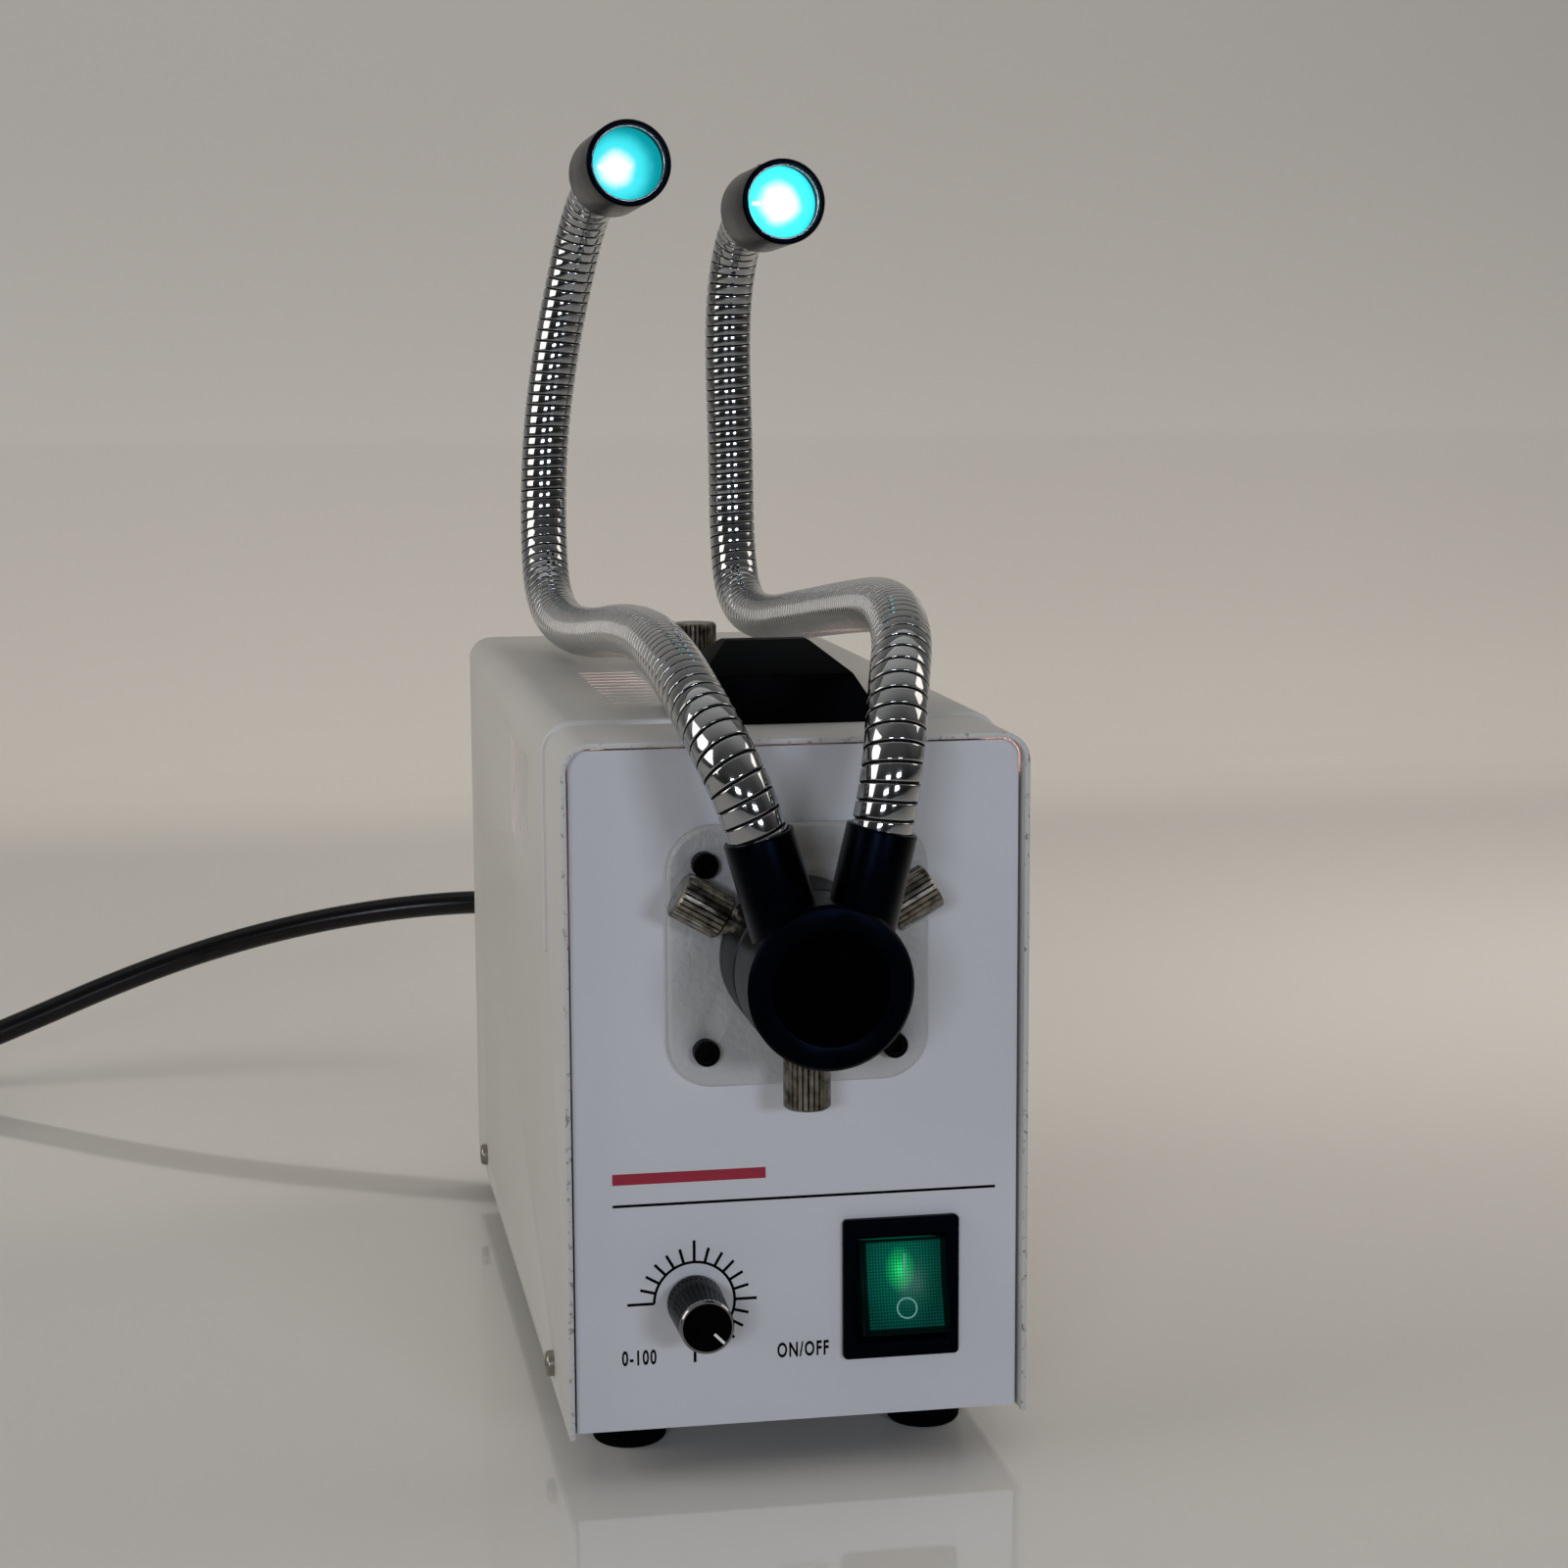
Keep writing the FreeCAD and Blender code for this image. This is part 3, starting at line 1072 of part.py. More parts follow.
def at_tie(shape):
    """Turn a shape made on the X axis to the tie's place on the coil."""
    shape.rotate(V(0, 0, 0), V(0, 0, 1), TIE_ANGLE)
    shape.translate(V(COIL_X, COIL_Y, 0))
    return shape


def make_coil():
    """Outer shape of the coiled cord, with room for the tie under it."""
    low, high = COIL_SECTION_IN, COIL_SECTION_OUT
    points = [(low + 3, 0), (high - 3, 0), (high, 3), (high, 6.2), (high - 5, COIL_H - 0.6),
              (high - 8, COIL_H), (low + 8, COIL_H), (low + 5, COIL_H - 0.6), (low, 6.2), (low, 3)]
    section = [V(COIL_X + r, COIL_Y, z) for r, z in points]
    ring = Part.Face(Part.makePolygon(section + [section[0]]))
    ring = ring.revolve(V(COIL_X, COIL_Y, 0), V(0, 0, 1), 360)
    notch = at_tie(box(low - 4, high + 4, -6.4, 6.4, -1, TIE_T + 0.2))
    return ring.cut(notch)


def make_tie():
    """Strap round the coil's section."""
    low, high = COIL_SECTION_IN - 0.5, COIL_SECTION_OUT + 0.5
    top = COIL_H + 0.2
    band = box(low - TIE_T, high + TIE_T, -6, 6, 0, top + TIE_T)
    band = band.makeFillet(2.2, edges_along(band, (0, 1, 0)))
    hollow = box(low, high, -7, 7, TIE_T, top)
    hollow = hollow.makeFillet(1.3, edges_along(hollow, (0, 1, 0)))
    return at_tie(band.cut(hollow))


def plug_tail():
    """Short stretch of cord from the coil's outer turn to the plug."""
    x = COIL_X - COIL_OUTER_TURN
    start = V(x, COIL_Y, CORD_R + 0.1)
    return Part.makeCylinder(CORD_R, COIL_Y - PLUG_Y - 10.0, start, V(0, -1, 0))


def make_plug():
    """Moulded three pin plug lying flat, with its own tapered strain relief."""
    x = COIL_X - COIL_OUTER_TURN
    z = 10.5
    y0 = PLUG_Y
    body = box(x - 12.5, x + 12.5, y0 - 34, y0 - 10, 0.3, 2 * z - 0.3)
    body = body.makeFillet(5.0, edges_along(body, (0, 1, 0)))
    shoulder = Part.makeLoft([
        Part.Wire([Part.Circle(V(x, y0 + 10, CORD_R + 1.2), V(0, 1, 0), CORD_R + 1.1).toShape()]),
        Part.Wire([Part.Circle(V(x, y0 - 11, 8.6), V(0, 1, 0), 8.2).toShape()])], True, True)
    return union([body, shoulder])


def make_plug_blades():
    """Two flat blades and a round earth pin."""
    x = COIL_X - COIL_OUTER_TURN
    y0 = PLUG_Y - 34
    blades = [box(x + sx * 6.35 - 0.75, x + sx * 6.35 + 0.75, y0 - 16, y0, 4.6, 10.9) for sx in (-1, 1)]
    pin = rod((x, y0, 16.2), (0, -1, 0), 2.4, 18.0)
    pin = pin.makeFillet(1.5, [e for e in pin.Edges if e.CenterOfMass.y < y0 - 17])
    return blades + [pin]


def make_cord(coil):
    """Free cord from the strain relief to the coil, and the lead to the plug."""
    path = rounded_path(CORD_ROUTE, "cord")
    tube = tube_on(path, CORD_R, "cord").cut(coil)
    tail = plug_tail().cut(coil)
    pieces = []
    for shape in (tube, tail):
        pieces.append(max(shape.Solids, key=lambda s: s.Volume))
    return pieces


# --- Write every node ------------------------------------------------------------

save("base_chassis", make_chassis())
save("front_overlay", make_overlay())
save("rear_panel", make_rear_panel())
save("top_cover", make_cover())
save("cover_screws", *make_cover_screws())
save("rubber_feet", *make_feet())
save("foot_screws", *make_foot_screws())
save("top_grip", make_grip())
save("top_thumbscrew", make_top_screw())
save("port_plate", make_port_plate())
save("port_plate_screws", *make_plate_screws())
save("port_collar", make_collar())
for place, clamp_angle in THUMB_ANGLES.items():
    save("thumbscrew_" + place, make_thumbscrew(clamp_angle))

save("hub_body", make_hub())
save("hub_cap", make_hub_cap())
save("guide_ferrule", make_ferrule())
save("fibre_bundle", make_bundle())
for place, side, route, aim in (("left", -1, LEFT_ROUTE, LEFT_AIM), ("right", 1, RIGHT_ROUTE, RIGHT_AIM)):
    save("socket_" + place, make_socket(side))
    save("hose_%s_lower" % place, hose_piece(route, None, BASE_RUN, "lower " + place))
    save("hose_%s_middle" % place, hose_piece(route, BASE_RUN, TOP_RUN, "middle " + place))
    save("hose_%s_upper" % place, hose_piece(route, TOP_RUN, None, "upper " + place))
    save("lens_barrel_" + place, make_barrel(route, aim))
    save("lens_" + place, make_lens(route, aim))

save("dimmer_potentiometer", make_pot())
save("potentiometer_nut", make_pot_nut())
save("potentiometer_shaft", make_pot_shaft())
save("brightness_knob", make_knob())
save("knob_ring", make_knob_ring())
save("switch_housing", make_switch_housing())
save("switch_rocker", make_rocker())

save("lamp_deck", make_deck())
save("heat_filter", make_filter_glass())
save("lamp_bracket", bracket(LAMP_Y - 1.2, 30.0, 144.0, 23.4, 25.1))
save("lamp_reflector", make_reflector())
save("lamp_capsule", make_capsule())
save("lamp_socket", make_lamp_socket())
save("transformer_core", make_core())
save("transformer_winding", make_winding())
save("dimmer_board", make_board())
save("triac_heat_sink", make_heat_sink())
save("fan_frame", make_fan_frame())
save("fan_rotor", make_fan_rotor())
save("fan_guard", make_fan_guard())
save("fan_screws", *make_fan_screws())
save("fuse_holder", make_fuse_holder())
save("fuse_cap", make_fuse_cap())

cord_coil = make_coil()
save("strain_relief", make_strain_relief())
save("power_cord", *make_cord(cord_coil))
save("cord_coil", cord_coil)
save("cord_tie", make_tie())
save("plug_body", make_plug())
save("plug_blades", *make_plug_blades())
print("nodes", len(report))
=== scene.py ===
"""Looks of a fiber optic illuminator with two goosenecks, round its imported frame."""

import json
import logging
import math
from contextlib import contextmanager
from dataclasses import dataclass, replace
from enum import Enum
from typing import Callable, Dict, Iterator, List, Optional, Sequence, Tuple

import bpy
from mathutils import Euler, Matrix, Vector

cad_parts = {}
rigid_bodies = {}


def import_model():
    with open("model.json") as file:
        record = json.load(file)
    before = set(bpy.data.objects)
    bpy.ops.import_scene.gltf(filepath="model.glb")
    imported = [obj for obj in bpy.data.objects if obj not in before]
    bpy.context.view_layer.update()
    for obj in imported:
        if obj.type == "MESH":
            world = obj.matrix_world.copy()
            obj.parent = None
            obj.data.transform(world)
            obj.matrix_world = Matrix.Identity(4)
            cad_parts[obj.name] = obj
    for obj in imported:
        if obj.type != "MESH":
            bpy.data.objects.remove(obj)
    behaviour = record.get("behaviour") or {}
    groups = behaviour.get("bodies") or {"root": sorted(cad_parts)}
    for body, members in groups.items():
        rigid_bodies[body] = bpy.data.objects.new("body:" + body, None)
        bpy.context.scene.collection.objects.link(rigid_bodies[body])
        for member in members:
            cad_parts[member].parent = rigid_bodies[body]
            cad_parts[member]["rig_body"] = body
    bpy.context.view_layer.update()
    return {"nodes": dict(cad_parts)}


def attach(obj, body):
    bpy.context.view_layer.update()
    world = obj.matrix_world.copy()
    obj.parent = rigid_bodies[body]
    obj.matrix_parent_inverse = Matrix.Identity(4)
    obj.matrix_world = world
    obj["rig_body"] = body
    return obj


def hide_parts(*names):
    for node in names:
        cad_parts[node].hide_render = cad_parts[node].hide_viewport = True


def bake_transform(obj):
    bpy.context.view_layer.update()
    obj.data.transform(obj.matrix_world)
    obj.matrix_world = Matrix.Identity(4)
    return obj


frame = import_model()

log = logging.getLogger("illuminator")
Point = Tuple[float, float, float]
MM = 0.001

# Sizes shared by several pieces, in millimetres
FRONT_Y = -108.0
PANEL_Y = -105.0
DIAL = (-22.6, 38.2)
CORD_D = 7.8
PRINT_T = 0.06
# Far in front of the case: a finish whose edge lies here has no darkened edge
NO_EDGE_Y = -500.0

MM_PER_M = 1000
# How far a finish's dark and light patches go from its colour, in spreads
DARK_SPREADS = 2.2
LIGHT_SPREADS = 1.6


class Text(Enum):
    """Lettering and marks that may be printed on the case."""

    ON_OFF = "ON/OFF"
    RANGE = "0-100"


# --- Small tools --------------------------------------------------------------


def mm(x: float, y: float, z: float) -> Vector:
    """Point given in millimetres.

    Args:
        x: Millimetres to the right.
        y: Millimetres to the back.
        z: Millimetres up.

    Returns:
        The point in metres.
    """
    return Vector((x, y, z)) * MM


def linear(code: str) -> Tuple[float, float, float, float]:
    """Turn an sRGB hex colour to linear light.

    Args:
        code: Colour such as "#a0b0c0".

    Returns:
        Red, green, blue and an alpha of one.
    """
    values = []
    for start in (1, 3, 5):
        v = int(code[start : start + 2], 16) / 255.0
        values.append(v / 12.92 if v <= 0.04045 else ((v + 0.055) / 1.055) ** 2.4)
    return (values[0], values[1], values[2], 1.0)


def deselect() -> None:
    """Deselect every object."""
    for item in bpy.context.view_layer.objects:
        item.select_set(False)


def activate(obj: bpy.types.Object) -> None:
    """Make one object the only selected and active one.

    Args:
        obj: The object.
    """
    deselect()
    obj.select_set(True)
    bpy.context.view_layer.objects.active = obj


@contextmanager
def editing(obj: bpy.types.Object, mode: str = "FACE") -> Iterator[None]:
    """Edit mode on one object.

    Args:
        obj: The object to edit.
        mode: Select mode: VERT, EDGE or FACE.

    Yields:
        Nothing; edit mode ends afterwards.
    """
    activate(obj)
    bpy.ops.object.mode_set(mode="EDIT")
    bpy.ops.mesh.select_mode(type=mode)
    yield
    bpy.ops.object.mode_set(mode="OBJECT")


def pick(obj: bpy.types.Object, test: Callable[[Vector, Vector], bool]) -> None:
    """Select faces by their place and normal, and nothing else.

    Args:
        obj: A mesh object in object mode.
        test: Takes a face's middle and its normal.
    """
    for part in (obj.data.vertices, obj.data.edges):
        part.foreach_set("select", [False] * len(part))
    obj.data.polygons.foreach_set("select", [test(f.center, f.normal) for f in obj.data.polygons])


def settle(obj: bpy.types.Object) -> bpy.types.Object:
    """Apply an object's place, turn and size to its mesh.

    Args:
        obj: The object.

    Returns:
        The same object, at the origin.
    """
    activate(obj)
    bpy.ops.object.transform_apply(location=True, rotation=True, scale=True)
    return obj


def apply_modifiers(obj: bpy.types.Object) -> None:
    """Apply all modifiers of an object, in order.

    Args:
        obj: The object.
    """
    activate(obj)
    for item in list(obj.modifiers):
        bpy.ops.object.modifier_apply(modifier=item.name)


def smooth(obj: bpy.types.Object, degrees: float = 35.0) -> None:
    """Shade smooth, with sharp edges over an angle.

    Args:
        obj: The object.
        degrees: The angle.
    """
    activate(obj)
    bpy.ops.object.shade_smooth_by_angle(angle=math.radians(degrees))


def outward(obj: bpy.types.Object) -> None:
    """Merge doubles and turn all normals outwards.

    Args:
        obj: The object.
    """
    with editing(obj, "VERT"):
        bpy.ops.mesh.select_all(action="SELECT")
        bpy.ops.mesh.remove_doubles(threshold=1e-6)
        bpy.ops.mesh.normals_make_consistent(inside=False)


def joined(pieces: Sequence[bpy.types.Object], name: str) -> bpy.types.Object:
    """Join mesh objects into one.

    Args:
        pieces: The objects; the first one stays.
        name: Name of the result.

    Returns:
        The joined object.
    """
    deselect()
    for piece in pieces:
        piece.select_set(True)
    bpy.context.view_layer.objects.active = pieces[0]
    if len(pieces) > 1:
        bpy.ops.object.join()
    pieces[0].name = name
    return pieces[0]


def toward(direction: Vector) -> Tuple[float, float, float]:
    """Euler turn that brings Z onto a direction.

    Args:
        direction: The direction.

    Returns:
        The angles in radians.
    """
    return tuple(Vector(direction).to_track_quat("Z", "Y").to_euler())


def copied(obj: bpy.types.Object, change: Matrix) -> bpy.types.Object:
    """Copy a finished shape, with its own mesh, to another place.

    Args:
        obj: The shape, at the origin.
        change: How the copy is moved or turned.

    Returns:
        The copy.
    """
    mesh = obj.data.copy()
    mesh.transform(change)
    twin = bpy.data.objects.new(obj.name, mesh)
    bpy.context.scene.collection.objects.link(twin)
    return twin


def slab(place: Vector, size: Point, turn: Point = (0.0, 0.0, 0.0), edge: float = 0.015) -> bpy.types.Object:
    """Thin block of ink or paint with its edges broken.

    Args:
        place: Its middle, in metres.
        size: Its size along its own axes, in millimetres.
        turn: Its turn in radians.
        edge: Width of the broken edges in millimetres.

    Returns:
        The block.
    """
    bpy.ops.mesh.primitive_cube_add(size=1.0, location=place, rotation=turn)
    obj = bpy.context.object
    obj.scale = mm(*size)
    settle(obj)
    with editing(obj, "EDGE"):
        bpy.ops.mesh.select_all(action="SELECT")
        bpy.ops.mesh.bevel(offset=edge * MM, segments=1, affect="EDGES")
    outward(obj)
    return obj


def hoop(
    middle: Vector,
    turn: Point,
    radius: float,
    wire: Tuple[float, float],
    start: float = 0.0,
    sweep: float = 360.0,
    steps: int = 64,
) -> bpy.types.Object:
    """Spin a small oval section round an axis, all or part of the way.

    Args:
        middle: Middle of the hoop, in metres.
        turn: Turn in radians that brings Z onto the hoop's axis.
        radius: Radius to the section's middle, in millimetres.
        wire: Half of the section's width and of its height, in millimetres.
        start: Degrees where it starts.
        sweep: Degrees that it covers, clockwise.
        steps: Steps of the spin.

    Returns:
        The hoop.
    """
    closed = sweep >= 360.0
    bpy.ops.mesh.primitive_circle_add(
        vertices=10, radius=MM, fill_type="NOTHING" if closed else "NGON",
        location=(radius * MM, 0, 0), rotation=(math.pi / 2, 0, 0),
    )
    obj = bpy.context.object
    obj.scale = (wire[0], wire[1], 1.0)
    settle(obj)
    with editing(obj, "VERT"):
        bpy.ops.mesh.select_all(action="SELECT")
        bpy.ops.mesh.spin(steps=steps, angle=math.radians(sweep), center=(0, 0, 0), axis=(0, 0, 1))
    outward(obj)
    stand = Euler(turn).to_matrix().to_4x4()
    obj.data.transform(Matrix.Translation(middle) @ stand @ Matrix.Rotation(math.radians(start), 4, "Z"))
    return obj


def spline(name: str, points: Sequence[Point], radius: float = 0.0) -> bpy.types.Object:
    """Smooth open curve with a route's points as its control points.

    Args:
        name: Name of the object.
        points: Control points in metres.
        radius: Radius of the round section in metres, or zero.

    Returns:
        The curve object.
    """
    curve = bpy.data.curves.new(name, "CURVE")
    curve.dimensions = "3D"
    curve.resolution_u = 10
    line = curve.splines.new("NURBS")
    line.points.add(len(points) - 1)
    for knot, place in zip(line.points, points):
        knot.co = (*place, 1.0)
    line.order_u = 3
    line.use_endpoint_u = True
    if radius > 0:
        curve.bevel_depth = radius
        curve.bevel_resolution = 6
        curve.use_fill_caps = True
    obj = bpy.data.objects.new(name, curve)
    bpy.context.scene.collection.objects.link(obj)
    return obj


def evened(curve: bpy.types.Object, step: float) -> List[Vector]:
    """Points at even distances along a curve that has no bevel.

    Args:
        curve: The curve object.
        step: About how far apart, in metres.

    Returns:
        The points, both ends among them.
    """
    bpy.context.view_layer.update()
    mesh = bpy.data.meshes.new_from_object(curve)
    places = [v.co.copy() for v in mesh.vertices]
    bpy.data.meshes.remove(mesh)
    walked = [0.0]
    for a, b in zip(places, places[1:]):
        walked.append(walked[-1] + (b - a).length)
    count = round(walked[-1] / step)
    points = []
    last = 0
    for i in range(count + 1):
        at = walked[-1] * i / count
        while last < len(places) - 2 and walked[last + 1] < at:
            last += 1
        share = (at - walked[last]) / (walked[last + 1] - walked[last])
        points.append(places[last].lerp(places[last + 1], share))
    return points


def add_node(
    tree: bpy.types.NodeTree, kind: str, links: Optional[Dict] = None, **settings: object
) -> bpy.types.Node:
    """Add one shader node.

    Args:
        tree: The material's node tree.
        kind: Type of the node without its ShaderNode prefix.
        links: Input name or number to an output socket or a value.
        **settings: The node's own settings.

    Returns:
        The new node.
    """
    node = tree.nodes.new("ShaderNode" + kind)
    for key, value in settings.items():
        setattr(node, key, value)
    for key, value in (links or {}).items():
        if isinstance(value, bpy.types.NodeSocket):
            tree.links.new(value, node.inputs[key])
        else:
            node.inputs[key].default_value = value
    return node


# --- Finishes -----------------------------------------------------------------


@dataclass(frozen=True)
class Finish:
    """A surface: its colour, gloss, grain and uneven tone.

    Grain is the size of the fine relief, and tone the size of its patches of
    lighter and darker colour, both in millimetres.  Gloss is the strength of
    the reflection head on, 0.5 for a clean surface of the given IOR.
    """

    name: str
    color: str
    roughness: float = 0.5
    metallic: float = 0.0
    ior: float = 1.5
    grain: float = 0.5
    relief: float = 0.01
    tone: float = 12.0
    spread: float = 0.06
    rough_spread: float = 0.06
    coat: float = 0.0
    gloss: float = 0.5
    stretch: Point = (1.0, 1.0, 1.0)

    def material(self) -> bpy.types.Material:
        """Build the material once, and give the same one after that.

        Returns:
            The material.
        """
        ready = bpy.data.materials.get(self.name)
        if ready is not None:
            return ready
        material = bpy.data.materials.new(self.name)
        material.use_nodes = True
        tree = material.node_tree
        shader = tree.nodes["Principled BSDF"]
        shader.inputs["Metallic"].default_value = self.metallic
        if self.metallic < 0.5:
            shader.inputs["IOR"].default_value = self.ior
            shader.inputs["Specular IOR Level"].default_value = self.gloss
        if self.coat > 0:
            shader.inputs["Coat Weight"].default_value = self.coat
            shader.inputs["Coat Roughness"].default_value = 0.08
        self.dress(tree, shader)
        return material

    def dress(self, tree: bpy.types.NodeTree, shader: bpy.types.Node) -> None:
        """Link colour, roughness and relief to the shader.

        Args:
            tree: The material's node tree.
            shader: Its Principled BSDF node.
        """
        place = add_node(tree, "TexCoord").outputs["Object"]
        noise = {"Vector": place, "Scale": MM_PER_M / self.tone, "Detail": 4.0}
        patches = add_node(tree, "TexNoise", noise).outputs["Fac"]
        base = linear(self.color)
        low = tuple(c * (1 - self.spread * DARK_SPREADS) for c in base[:3]) + (1.0,)
        high = tuple(min(1.0, c * (1 + self.spread * LIGHT_SPREADS)) for c in base[:3]) + (1.0,)
        color = add_node(tree, "Mix", {0: patches, 6: low, 7: high}, data_type="RGBA").outputs[2]
        tree.links.new(self.mark(tree, place, color), shader.inputs["Base Color"])
        least = max(0.02, self.roughness - self.rough_spread)
        most = min(1.0, self.roughness + self.rough_spread)
        rough = add_node(tree, "MapRange", {"Value": patches, "To Min": least, "To Max": most})
        tree.links.new(rough.outputs[0], shader.inputs["Roughness"])
        tree.links.new(self.surface(tree, place), shader.inputs["Normal"])

    def surface(self, tree: bpy.types.NodeTree, place: bpy.types.NodeSocket) -> bpy.types.NodeSocket:
        """Fine relief of the surface.

        Args:
            tree: The node tree.
            place: Object coordinates.

        Returns:
            The normal socket.
        """
        turned = add_node(tree, "Mapping", {"Vector": place, "Scale": self.stretch})
        noise = {"Vector": turned.outputs[0], "Scale": MM_PER_M / self.grain, "Detail": 3.0}
        height = add_node(tree, "TexNoise", noise).outputs["Fac"]
        bump = add_node(tree, "Bump", {"Height": height, "Strength": 1.0, "Distance": self.relief * MM})
        return bump.outputs[0]

    def mark(
        self, tree: bpy.types.NodeTree, place: bpy.types.NodeSocket, color: bpy.types.NodeSocket
    ) -> bpy.types.NodeSocket:
        """Marks on top of the colour; a plain finish has none.

        Args:
            tree: The node tree.
            place: Object coordinates.
            color: Colour so far.

        Returns:
            The colour with its marks.
        """
        return color


@dataclass(frozen=True)
class PowderCoat(Finish):
    """Baked coat on sheet steel, darker along the folded front edge and specked all over.

    The width of the darker edge is in millimetres.  Grit, specks and patches
    are patterns per metre: the breaks in the darker edge, the dots, and where
    the dots gather.
    """

    edge_y: float = FRONT_Y
    edge_width: float = 0.6
    edge_and_speck_color: str = "#4a453c"
    grit: float = 700.0
    specks: float = 110.0
    patches: float = 18.0

    def mark(
        self, tree: bpy.types.NodeTree, place: bpy.types.NodeSocket, color: bpy.types.NodeSocket
    ) -> bpy.types.NodeSocket:
        """A darker band along the front edge, broken up, and small specks all over.

        Args:
            tree: The node tree.
            place: Object coordinates.
            color: Colour so far.

        Returns:
            The colour with its marks.
        """
        axes = add_node(tree, "SeparateXYZ", {0: place})
        # Darken towards the edge colour in a band along the front edge, broken up by noise.
        start, end = self.edge_y * MM, (self.edge_y + self.edge_width) * MM
        near = add_node(
            tree, "MapRange",
            {"Value": axes.outputs[1], "From Min": start, "From Max": end, "To Min": 0.7, "To Max": 0.0},
            interpolation_type="SMOOTHSTEP",
        )
        grit = add_node(tree, "TexNoise", {"Vector": place, "Scale": self.grit, "Detail": 5.0})
        edge_breaks = add_node(
            tree, "MapRange",
            {"Value": grit.outputs["Fac"], "From Min": 0.58, "From Max": 0.68, "To Min": 0.08, "To Max": 0.9},
        )
        both = add_node(tree, "Math", {0: near.outputs[0], 1: edge_breaks.outputs[0]}, operation="MULTIPLY")
        specks = add_node(tree, "TexVoronoi", {"Vector": place, "Scale": self.specks}, feature="F1")
        away = specks.outputs["Distance"]
        dots = add_node(
            tree, "MapRange",
            {"Value": away, "From Min": 0.02, "From Max": 0.06, "To Min": 0.35, "To Max": 0.0},
        )
        rare = add_node(tree, "TexNoise", {"Vector": place, "Scale": self.patches}).outputs["Fac"]
        few = add_node(tree, "MapRange", {"Value": rare, "From Min": 0.56, "From Max": 0.66, "To Max": 1.0})
        spots = add_node(tree, "Math", {0: dots.outputs[0], 1: few.outputs[0]}, operation="MULTIPLY")
        dark_share = add_node(tree, "Math", {0: both.outputs[0], 1: spots.outputs[0]}, operation="MAXIMUM")
        mixed = {0: dark_share.outputs[0], 6: color, 7: linear(self.edge_and_speck_color)}
        return add_node(tree, "Mix", mixed, data_type="RGBA").outputs[2]


@dataclass(frozen=True)
class Knurled(Finish):
    """Nickel plate on knurled brass, tarnished dark brown in patches, so many to the metre."""

    tarnish: str = "#1f1a15"
    patches: float = 420.0

    def mark(
        self, tree: bpy.types.NodeTree, place: bpy.types.NodeSocket, color: bpy.types.NodeSocket
    ) -> bpy.types.NodeSocket:
        """Brown tarnish in uneven patches.

        Args:
            tree: The node tree.
            place: Object coordinates.
            color: Colour so far.

        Returns:
            The colour with its marks.
        """
        noise = {"Vector": place, "Scale": self.patches, "Detail": 6.0}
        cloud = add_node(tree, "TexNoise", noise).outputs["Fac"]
        part = add_node(tree, "MapRange", {"Value": cloud, "From Min": 0.42, "From Max": 0.68, "To Max": 0.8})
        mixed = {0: part.outputs[0], 6: color, 7: linear(self.tarnish)}
        return add_node(tree, "Mix", mixed, data_type="RGBA").outputs[2]


